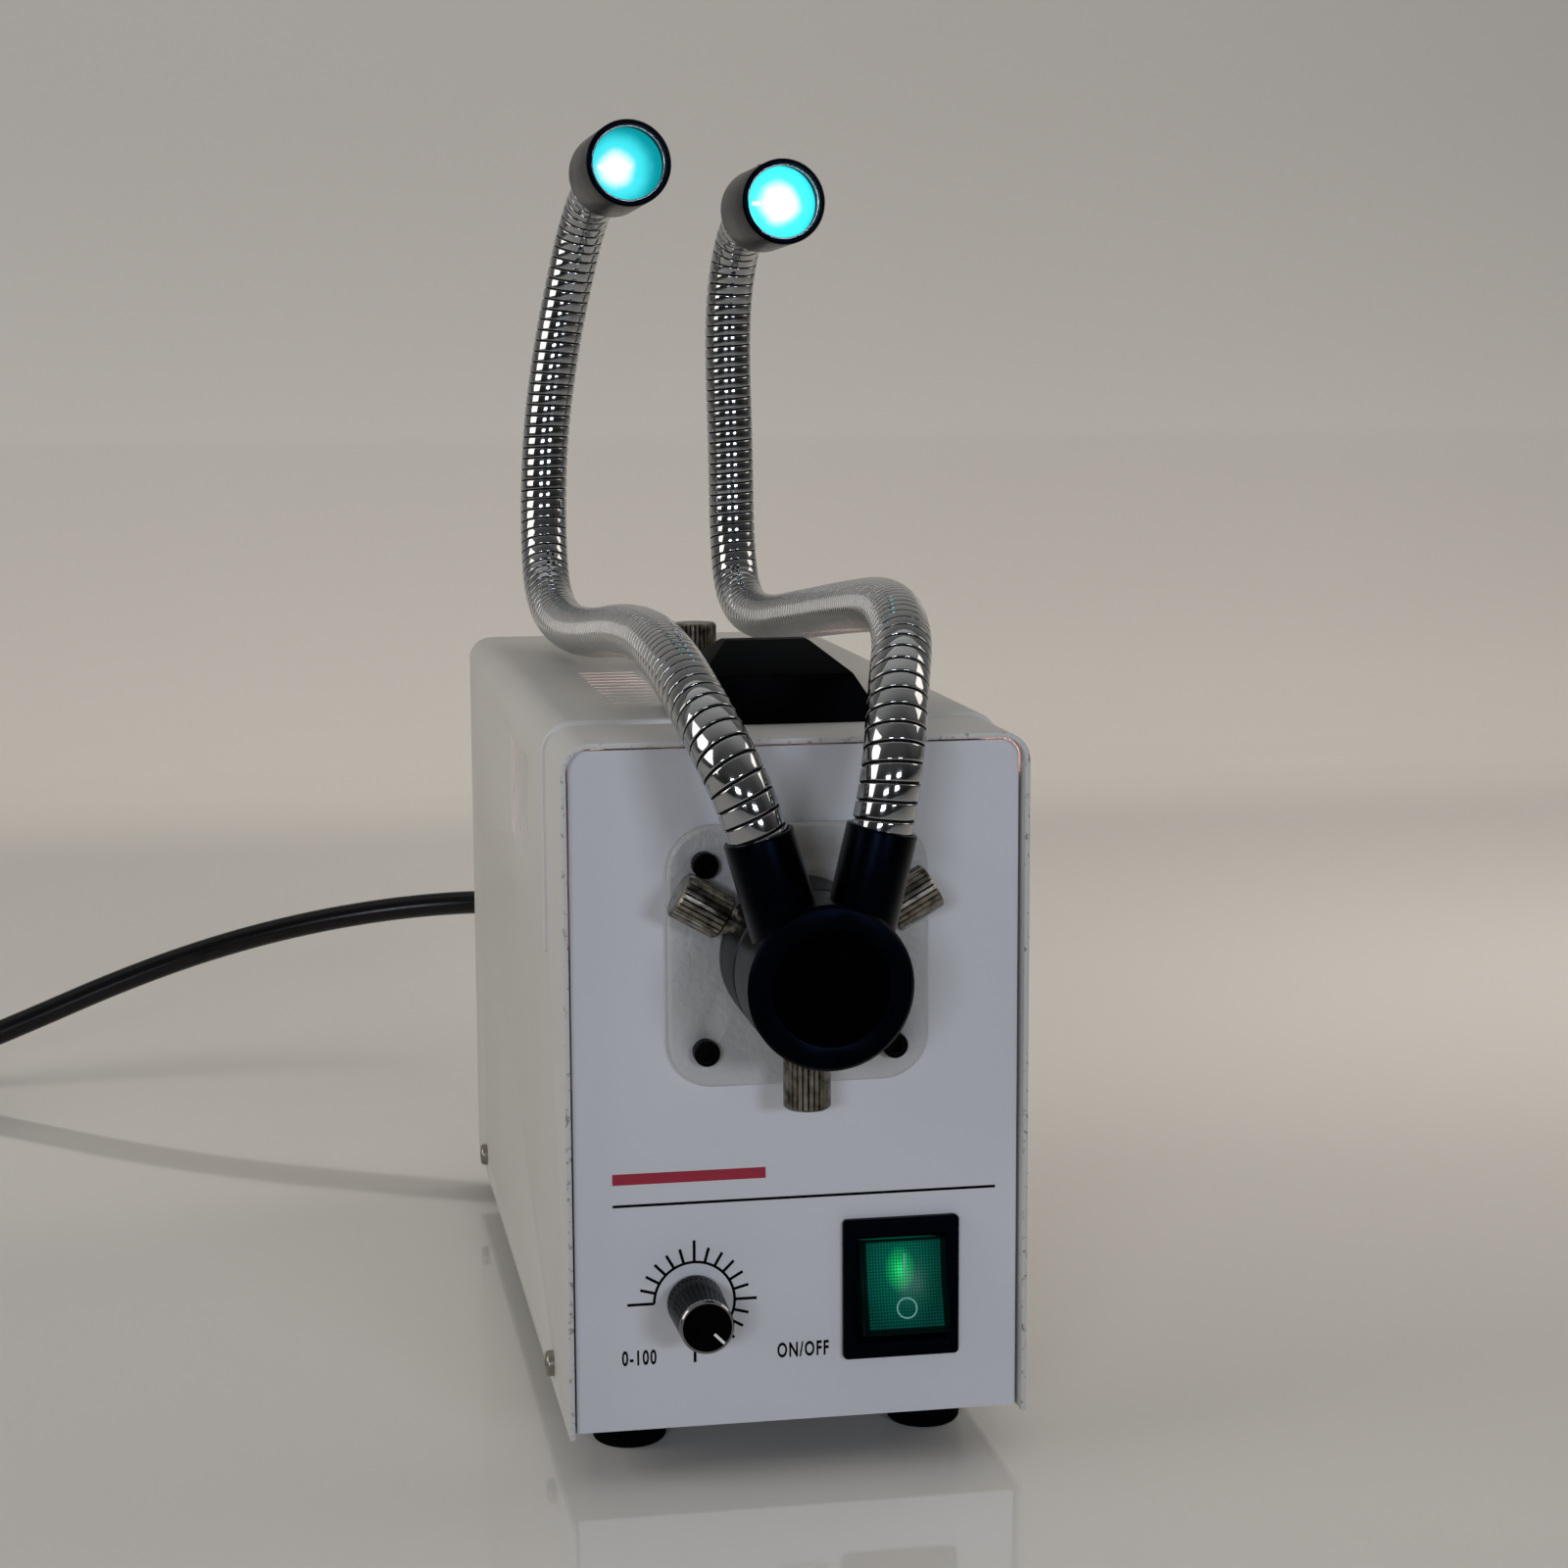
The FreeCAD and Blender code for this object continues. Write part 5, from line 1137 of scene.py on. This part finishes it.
@dataclass
class Case:
    """Cover, front sheet with its print, port plate, grip and rear guard, in millimetres.

    A word has its left end, foot and capitals' height, and a rule its left
    and right ends, height and width.  The font's capitals, its bolder stroke
    and its spacing are shares of the lettering's size.  The guard's spoke and
    eye have their distance from its middle, then their length or radius.
    """

    arc_r: float = 8.7
    short_r: float = 12.1
    long_r: float = 13.5
    first_r: float = 14.5
    line: float = 0.62
    capitals: float = 0.69
    bolder: float = 0.036
    spacing: float = 1.2
    switch_word: Tuple[float, float, float] = (-4.7, 24.6, 3.1)
    dial_numbers: Tuple[float, float, float] = (-38.4, 24.9, 3.1)
    short_rule: Tuple[float, float, float, float] = (-40.0, -7.0, 65.8, 2.4)
    long_rule: Tuple[float, float, float, float] = (-40.0, 43.5, 60.0, 0.6)
    guard_at: Point = (0.0, 133.1, 108.0)
    wire: float = 0.88
    rings: Tuple[float, ...] = (11.0, 19.5, 28.0, 36.5)
    spoke: Tuple[float, float] = (24.0, 47.5)
    spoke_rim: float = 0.3
    eye: Tuple[float, float] = (50.56, 3.1)

    def build(self) -> None:
        """Make the case's own pieces."""
        softened("top_cover", "folded_cover", 0.18, [COVER])
        softened("port_plate", "light_port_plate", 0.25, [PLATE])
        softened("port_collar", "light_port_collar", 0.2, [COLLAR])
        softened("top_grip", "moulded_grip", 0.7, [ABS], segments=3)
        softened("rubber_feet", "turned_feet", 0.4, [RUBBER])
        self.dial()
        self.words()
        self.rules()
        self.guard()

    def stroke(self, reach: float) -> bpy.types.Object:
        """One printed line, from the arc out to the left.

        Args:
            reach: Radius of its outer end in millimetres.

        Returns:
            The line.
        """
        middle = mm(DIAL[0] - (self.arc_r + reach) / 2, PANEL_Y - PRINT_T / 2, DIAL[1])
        return slab(middle, (reach - self.arc_r, PRINT_T, self.line))

    def dial(self) -> None:
        """Print the brightness scale: an arc and nineteen strokes."""
        middle = mm(DIAL[0], PANEL_Y, DIAL[1])
        parts = [hoop(middle, (math.pi / 2, 0, 0), self.arc_r, (self.line / 2, PRINT_T / 2), 180.0, 270.0)]
        parts.append(self.stroke(self.first_r))
        kinds = (self.stroke(self.long_r), self.stroke(self.short_r))
        for i in range(1, 19):
            turn = Matrix.Rotation(math.radians(15.0 * i), 4, "Y")
            change = Matrix.Translation(middle) @ turn @ Matrix.Translation(-middle)
            parts.append(copied(kinds[0 if i % 6 == 0 else 1], change))
        for kind in kinds:
            bpy.data.objects.remove(kind)
        place_piece(joined(parts, "dial_scale"), "dial_scale", "lamp_house", [INK])

    def word(self, text: Text, x: float, z: float, height: float, squeeze: float = 0.61) -> bpy.types.Object:
        """Print one word on the front sheet.

        Args:
            text: What it says.
            x: Its left end in millimetres.
            z: Its foot in millimetres.
            height: Height of its capitals in millimetres.
            squeeze: Width of the letters against normal ones.

        Returns:
            The word as a mesh.
        """
        bpy.ops.object.text_add(location=mm(x, PANEL_Y - PRINT_T / 2, z), rotation=(math.pi / 2, 0, 0))
        obj = bpy.context.object
        obj.data.body = text.value
        obj.data.size = height * MM / self.capitals
        obj.data.extrude = PRINT_T * MM / 2
        obj.data.resolution_u = 4
        obj.data.offset = self.bolder * height * MM
        obj.data.space_character = self.spacing
        obj.scale = (squeeze, 1.0, 1.0)
        activate(obj)
        bpy.ops.object.convert(target="MESH")
        return settle(bpy.context.object)

    def words(self) -> None:
        """Print the switch's word and the numbers of the scale."""
        word = self.word(Text.ON_OFF, *self.switch_word)
        place_piece(word, "switch_word", "lamp_house", [INK])
        numbers = self.word(Text.RANGE, *self.dial_numbers)
        place_piece(numbers, "dial_numbers", "lamp_house", [INK])

    def rule(self, x0: float, x1: float, z: float, width: float) -> bpy.types.Object:
        """Print one level rule on the front sheet.

        Args:
            x0: Left end in millimetres.
            x1: Right end in millimetres.
            z: Height of its middle in millimetres.
            width: Its width in millimetres.

        Returns:
            The rule.
        """
        return slab(mm((x0 + x1) / 2, PANEL_Y - PRINT_T / 2, z), (x1 - x0, PRINT_T, width))

    def rules(self) -> None:
        """Print a thick short rule and a thin long one over the dial and switch."""
        place_piece(self.rule(*self.short_rule), "short_rule", "lamp_house", [RED_INK])
        place_piece(self.rule(*self.long_rule), "long_rule", "lamp_house", [INK])

    def guard(self) -> None:
        """Bend the wire finger guard of the fan from rings, spokes and eyes."""
        middle, flat, wire = mm(*self.guard_at), (math.pi / 2, 0, 0), (self.wire, self.wire)
        parts = [hoop(middle, flat, radius, wire) for radius in self.rings]
        corner = Vector((1, 0, 1)).normalized()
        spoke_out, length = self.spoke
        bpy.ops.mesh.primitive_cylinder_add(
            radius=self.wire * MM, depth=length * MM, vertices=12,
            location=middle + corner * (spoke_out * MM), rotation=toward(corner),
        )
        spoke = settle(bpy.context.object)
        pick(spoke, lambda c, n: abs(n.dot(corner)) > 0.9)
        with editing(spoke):
            bpy.ops.mesh.inset(thickness=self.spoke_rim * MM)
        outward(spoke)
        eye_out, eye_r = self.eye
        eye = hoop(middle + corner * (eye_out * MM), flat, eye_r, wire, steps=28)
        for i in range(4):
            turn = Matrix.Rotation(math.pi / 2 * i, 4, "Y")
            change = Matrix.Translation(middle) @ turn @ Matrix.Translation(-middle)
            parts += [copied(spoke, change), copied(eye, change)]
        bpy.data.objects.remove(spoke)
        bpy.data.objects.remove(eye)
        guard = joined(parts, "wire_guard")
        smooth(guard, 50)
        place_piece(guard, "wire_guard", "lamp_house", [WIRE], ("fan_guard",))


# --- Switch and knob ---------------------------------------------------------------


@dataclass
class Controls:
    """Bezel of the switch, its rocker with marks, and the knob's pointer.

    Sizes are in millimetres.  The bar reaches from its first height over the
    rocker's valley to its second, and x is how far a mark stands to the right.
    """

    pivot: Point = (22.4, -104.9, 39.0)
    tilt: float = 15.0
    lean: float = 4.3
    valley: float = 4.95
    bar: Tuple[float, float] = (2.2, 7.0)
    bar_x: float = 0.17
    bar_depth: float = 0.12
    ring_s: float = -4.67
    ring_x: float = 0.22
    ring_r: float = 2.12
    ring_depth: float = 0.14
    line: float = 0.38
    pointer_turn: float = -45.0
    pointer_r: float = 3.6
    pointer_y: float = -122.9
    pointer_size: Point = (3.0, 0.24, 0.6)
    pointer_edge: float = 0.05

    def build(self) -> None:
        """Make the controls' own pieces."""
        softened("switch_housing", "switch_bezel", 0.18, [SWITCH_BLACK])
        softened("switch_rocker", "clear_rocker", 0.22, [ROCKER])
        self.marks()
        self.pointer()

    def on_face(self, s: float, dx: float) -> Vector:
        """Point on the rocker's face.

        Args:
            s: Millimetres up from the valley, or down if negative.
            dx: Millimetres to the right of its middle.

        Returns:
            The point in metres.
        """
        lean, tilt = math.radians(self.lean), math.radians(self.tilt)
        y, z = -self.valley - abs(s) * math.sin(lean), s * math.cos(lean)
        return mm(
            self.pivot[0] + dx,
            self.pivot[1] + y * math.cos(tilt) + z * math.sin(tilt),
            self.pivot[2] - y * math.sin(tilt) + z * math.cos(tilt),
        )

    def marks(self) -> None:
        """Print a bar on the rocker's upper half and a ring on its lower half."""
        middle = self.on_face(sum(self.bar) / 2, self.bar_x)
        upper = math.radians(self.lean - self.tilt)
        bar = slab(middle, (self.line, self.bar_depth, self.bar[1] - self.bar[0]), (upper, 0, 0))
        lower = math.radians(90.0 - self.tilt - self.lean)
        middle = self.on_face(self.ring_s, self.ring_x)
        ring = hoop(middle, (lower, 0, 0), self.ring_r, (self.line / 2, self.ring_depth / 2), steps=48)
        marks = joined([bar, ring], "rocker_marks")
        smooth(marks, 50)
        place_piece(marks, "rocker_marks", "rocker", [PALE_MARK])

    def pointer(self) -> None:
        """Fill the knob's pointer groove with white paint."""
        a, r = math.radians(self.pointer_turn), self.pointer_r
        place = mm(DIAL[0] + r * math.cos(a), self.pointer_y, DIAL[1] + r * math.sin(a))
        line = slab(place, self.pointer_size, (0, -a, 0), self.pointer_edge)
        place_piece(line, "knob_pointer", "dimmer_knob", [POINTER])


# --- Light guide ---------------------------------------------------------------------


@dataclass
class Gooseneck:
    """One arm of the light guide: wound steel hose and a lit head.

    Route and hinges are in metres, and other sizes in millimetres; the hinges
    are not used.  Split is the lower stretch's share of the turns, and slack is
    how far the turns are drawn apart.  The profile of a turn has shares of its
    pitch with radii.
    Lens glass, ring and screw have their distance past the hose's end first,
    then the ring its radius, and the screw its distance from the axis.  The
    screw's size is its radius and height, then its socket's depth and rim.
    """

    side: str
    route: Tuple[Point, ...]
    aim: Point
    low_hinge: Tuple[Point, Point]
    high_hinge: Tuple[Point, Point]
    lens: LitLens
    pitch: float = 3.0
    split: float = 0.46
    slack: float = 13.0
    slack_reach: float = 40.0
    seam_r: float = 6.0
    step: float = 1.5
    wind_steps: int = 28
    glass_at: float = 24.5
    ring_at: Tuple[float, float] = (26.6, 9.45)
    ring_wire: float = 0.3
    screw_at: Tuple[float, float] = (6.0, 10.9)
    screw_size: Tuple[float, float, float, float] = (1.5, 1.6, 0.9, 0.6)
    profile: Tuple[Tuple[float, float], ...] = (
        (0.0, 5.7), (0.08, 5.72), (0.1, 6.16), (0.13, 6.26), (0.18, 6.285), (0.5, 6.3), (0.86, 6.285),
        (0.92, 6.26), (0.96, 6.16), (1.0, 5.7),
    )

    def line(self) -> bpy.types.Object:
        """The arm's line in short even steps, so that a bend stretches no turn.

        Returns:
            The curve object.
        """
        smooth_line = spline("arm_route_" + self.side, self.route)
        smooth_line.data.resolution_u = 24
        points = evened(smooth_line, self.step * MM)
        bpy.data.objects.remove(smooth_line)
        curve = bpy.data.curves.new("arm_line_" + self.side, "CURVE")
        curve.dimensions = "3D"
        steps = curve.splines.new("POLY")
        steps.points.add(len(points) - 1)
        for knot, place in zip(steps.points, points):
            knot.co = (*place, 1.0)
        obj = bpy.data.objects.new(curve.name, curve)
        bpy.context.scene.collection.objects.link(obj)
        return obj

    def loosen(self, obj: bpy.types.Object, whole: float) -> None:
        """Draw the turns apart near the socket, where the hose is stretched over its ferrule.

        Args:
            obj: A straight stretch of hose along X.
            whole: Length of the whole hose in metres.
        """
        for vertex in obj.data.vertices:
            x = vertex.co.x
            drawn = 1 - math.exp(-x / (self.slack_reach * MM))
            vertex.co.x = x + self.slack * MM * drawn * (1 - x / whole)

    def strip(self, name: str, first: int, turns: int, pitch: float) -> bpy.types.Object:
        """Wind one stretch of strip, straight along X.

        Args:
            name: Its name.
            first: How many turns lie before it.
            turns: How many turns it has.
            pitch: Advance of a turn in metres.

        Returns:
            The straight stretch.
        """
        bpy.ops.mesh.primitive_plane_add(size=0.001)
        obj = bpy.context.object
        obj.name = name
        with editing(obj, "VERT"):
            bpy.ops.mesh.select_all(action="SELECT")
            bpy.ops.mesh.merge(type="CENTER")
            start = Vector((first * pitch, self.profile[0][1] * MM, 0))
            bpy.ops.transform.translate(value=start)
            for (u0, r0), (u1, r1) in zip(self.profile, self.profile[1:]):
                step = ((u1 - u0) * pitch, (r1 - r0) * MM, 0)
                bpy.ops.mesh.extrude_region_move(TRANSFORM_OT_translate={"value": step})
        wind = obj.modifiers.new("wind", "SCREW")
        wind.axis = "X"
        wind.angle = 2 * math.pi
        wind.screw_offset = pitch
        wind.iterations = turns
        wind.steps = self.wind_steps
        wind.render_steps = self.wind_steps
        wind.use_merge_vertices = True
        wind.merge_threshold = 1e-5
        apply_modifiers(obj)
        with editing(obj, "VERT"):
            bpy.ops.mesh.select_all(action="SELECT")
            bpy.ops.mesh.remove_doubles(threshold=2e-6)
            bpy.ops.mesh.fill_holes(sides=0)
            bpy.ops.mesh.normals_make_consistent(inside=False)
        return obj

    def hose(self) -> None:
        """Wind both stretches and bend them along the arm's line."""
        line = self.line()
        knots = [knot.co.to_3d() for knot in line.data.splines[0].points]
        whole = sum((b - a).length for a, b in zip(knots, knots[1:]))
        turns = round(whole / (self.pitch * MM))
        pitch = whole / turns
        lower = int(turns * self.split)
        arm, upright = self.side + "_arm", self.side + "_upright"
        plans = (
            ("lower", 0, lower, "light_guide", arm, self.low_hinge,
             ("hose_%s_lower" % self.side, "hose_%s_middle" % self.side)),
            ("upper", lower, turns - lower, arm, upright, self.high_hinge, ("hose_%s_upper" % self.side,)),
        )
        for part, first, count, before, after, ends, nodes in plans:
            name = "wound_hose_%s_%s" % (self.side, part)
            piece = self.strip(name, first, count, pitch)
            self.loosen(piece, whole)
            piece.data.materials.append(HOSE.material())
            piece.data.materials.append(SEAM.material())
            # Faces deep in the groove between turns take the near-black painted shade.
            for face in piece.data.polygons:
                face.material_index = int(math.hypot(face.center.y, face.center.z) < self.seam_r * MM)
            bend = piece.modifiers.new("bend", "CURVE")
            bend.object = line
            bend.deform_axis = "POS_X"
            apply_modifiers(piece)
            smooth(piece, 50)
            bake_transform(piece)
            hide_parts(*nodes)
            log.info("piece %s from %s to %s", name, before, after)
        bpy.data.objects.remove(line)

    def head(self) -> None:
        """Barrel, bright retaining ring and set screw of the head."""
        body = self.side + "_head"
        softened("lens_barrel_" + self.side, "barrel_" + self.side, 0.25, [ANODISED])
        aim = Vector(self.aim).normalized()
        foot = Vector(self.route[-1])
        lit = replace(self.lens, centre=tuple((foot + aim * (self.glass_at * MM)) / MM))
        glass = frame["nodes"]["lens_" + self.side]
        glass.data.materials.clear()
        glass.data.materials.append(lit.material())
        along, radius = self.ring_at
        wire = (self.ring_wire, self.ring_wire)
        ring = hoop(foot + aim * (along * MM), toward(aim), radius, wire, steps=72)
        smooth(ring, 60)
        place_piece(ring, "lens_ring_" + self.side, body, [KNOB_SILVER])
        self.screw(body, foot, aim)

    def screw(self, body: str, foot: Vector, aim: Vector) -> None:
        """Set screw in the top of the barrel.

        Args:
            body: The body that it rides on.
            foot: End of the hose.
            aim: The barrel's direction.
        """
        up = (Vector((0, 0, 1)) - aim * aim.z).normalized()
        along, out = self.screw_at
        radius, height, depth, rim = self.screw_size
        middle = foot + aim * (along * MM) + up * (out * MM)
        bpy.ops.mesh.primitive_cylinder_add(
            radius=radius * MM, depth=height * MM, vertices=24, location=middle, rotation=toward(up)
        )
        screw = settle(bpy.context.object)
        pick(screw, lambda c, n: n.dot(up) > 0.9)
        with editing(screw):
            bpy.ops.mesh.inset(thickness=rim * MM)
            bpy.ops.mesh.extrude_region_move(TRANSFORM_OT_translate={"value": up * (-depth * MM)})
        outward(screw)
        smooth(screw, 30)
        place_piece(screw, "head_set_screw_" + self.side, body, [OXIDE])

    def build(self) -> None:
        """Make the arm."""
        self.hose()
        self.head()


@dataclass
class LightGuide:
    """Hub with its cap and sockets, and the two goosenecks."""

    left: Tuple[Point, ...] = (
        (-0.010278, -0.1355, 0.132618), (-0.014812, -0.1355, 0.148534), (-0.0194, -0.1318, 0.1593),
        (-0.0230, -0.1205, 0.1683), (-0.0249, -0.0990, 0.1748), (-0.0253, -0.0660, 0.1774),
        (-0.0258, -0.0240, 0.1754), (-0.0269, 0.0270, 0.1698), (-0.0292, 0.0700, 0.1676),
        (-0.0315, 0.0950, 0.1730), (-0.0314, 0.1060, 0.1903), (-0.0304, 0.1080, 0.2157),
        (-0.0273, 0.1080, 0.2383), (-0.0236, 0.1074, 0.2565), (-0.0196, 0.1036, 0.2745),
        (-0.0164, 0.0930, 0.2843), (-0.0154, 0.0790, 0.2855),
    )
    right: Tuple[Point, ...] = (
        (0.009332, -0.1355, 0.133097), (0.013275, -0.1355, 0.150044), (0.0151, -0.1328, 0.1615),
        (0.0178, -0.1245, 0.1728), (0.0219, -0.1100, 0.1812), (0.0262, -0.0760, 0.1846),
        (0.0288, -0.0260, 0.1800), (0.0282, 0.0300, 0.1736), (0.0250, 0.0740, 0.1680),
        (0.0222, 0.1010, 0.1708), (0.0216, 0.1085, 0.1870), (0.0215, 0.1090, 0.2130),
        (0.0208, 0.1090, 0.2380), (0.0212, 0.1086, 0.2545), (0.0229, 0.1060, 0.2680),
        (0.0246, 0.0975, 0.2754), (0.0255, 0.0840, 0.2767),
    )

    def build(self) -> None:
        """Make the hub's pieces and both arms."""
        softened("hub_body", "light_guide_hub", 0.25, [ANODISED])
        softened("hub_cap", "light_guide_cap", 0.2, [CAP])
        for side in ("left", "right"):
            softened("socket_" + side, "hose_socket_" + side, 0.25, [ANODISED])
        Gooseneck(
            "left", self.left, (0.070, -0.996, 0.0625),
            ((-0.0208, -0.1290, 0.1615), (-0.0251, -0.0875, 0.1760)),
            ((-0.0314, 0.1062, 0.1850), (-0.0290, 0.1080, 0.2240)),
            LENS_LEFT,
        ).build()
        Gooseneck(
            "right", self.right, (0.0685, -0.9966, 0.0477),
            ((0.0158, -0.1310, 0.1640), (0.0240, -0.0950, 0.1828)),
            ((0.0216, 0.1080, 0.1820), (0.0213, 0.1090, 0.2200)),
            LENS_RIGHT,
        ).build()


def dress_nodes() -> None:
    """Give every CAD node that stays in view its finish."""
    for name, finish in NODE_FINISH.items():
        node = frame["nodes"][name]
        node.data.materials.clear()
        node.data.materials.append(finish.material())
        log.info("node %s is %s", name, finish.name)


def main() -> None:
    """Build the studio and every sub-assembly in order."""
    logging.basicConfig(level=logging.INFO, format="%(message)s")
    deselect()
    studio = Studio()
    studio.camera()
    MainsCord().build()
    dress_nodes()
    Case().build()
    Controls().build()
    LightGuide().build()
    studio.floor()
    studio.lights()


if __name__ == "__main__":
    main()
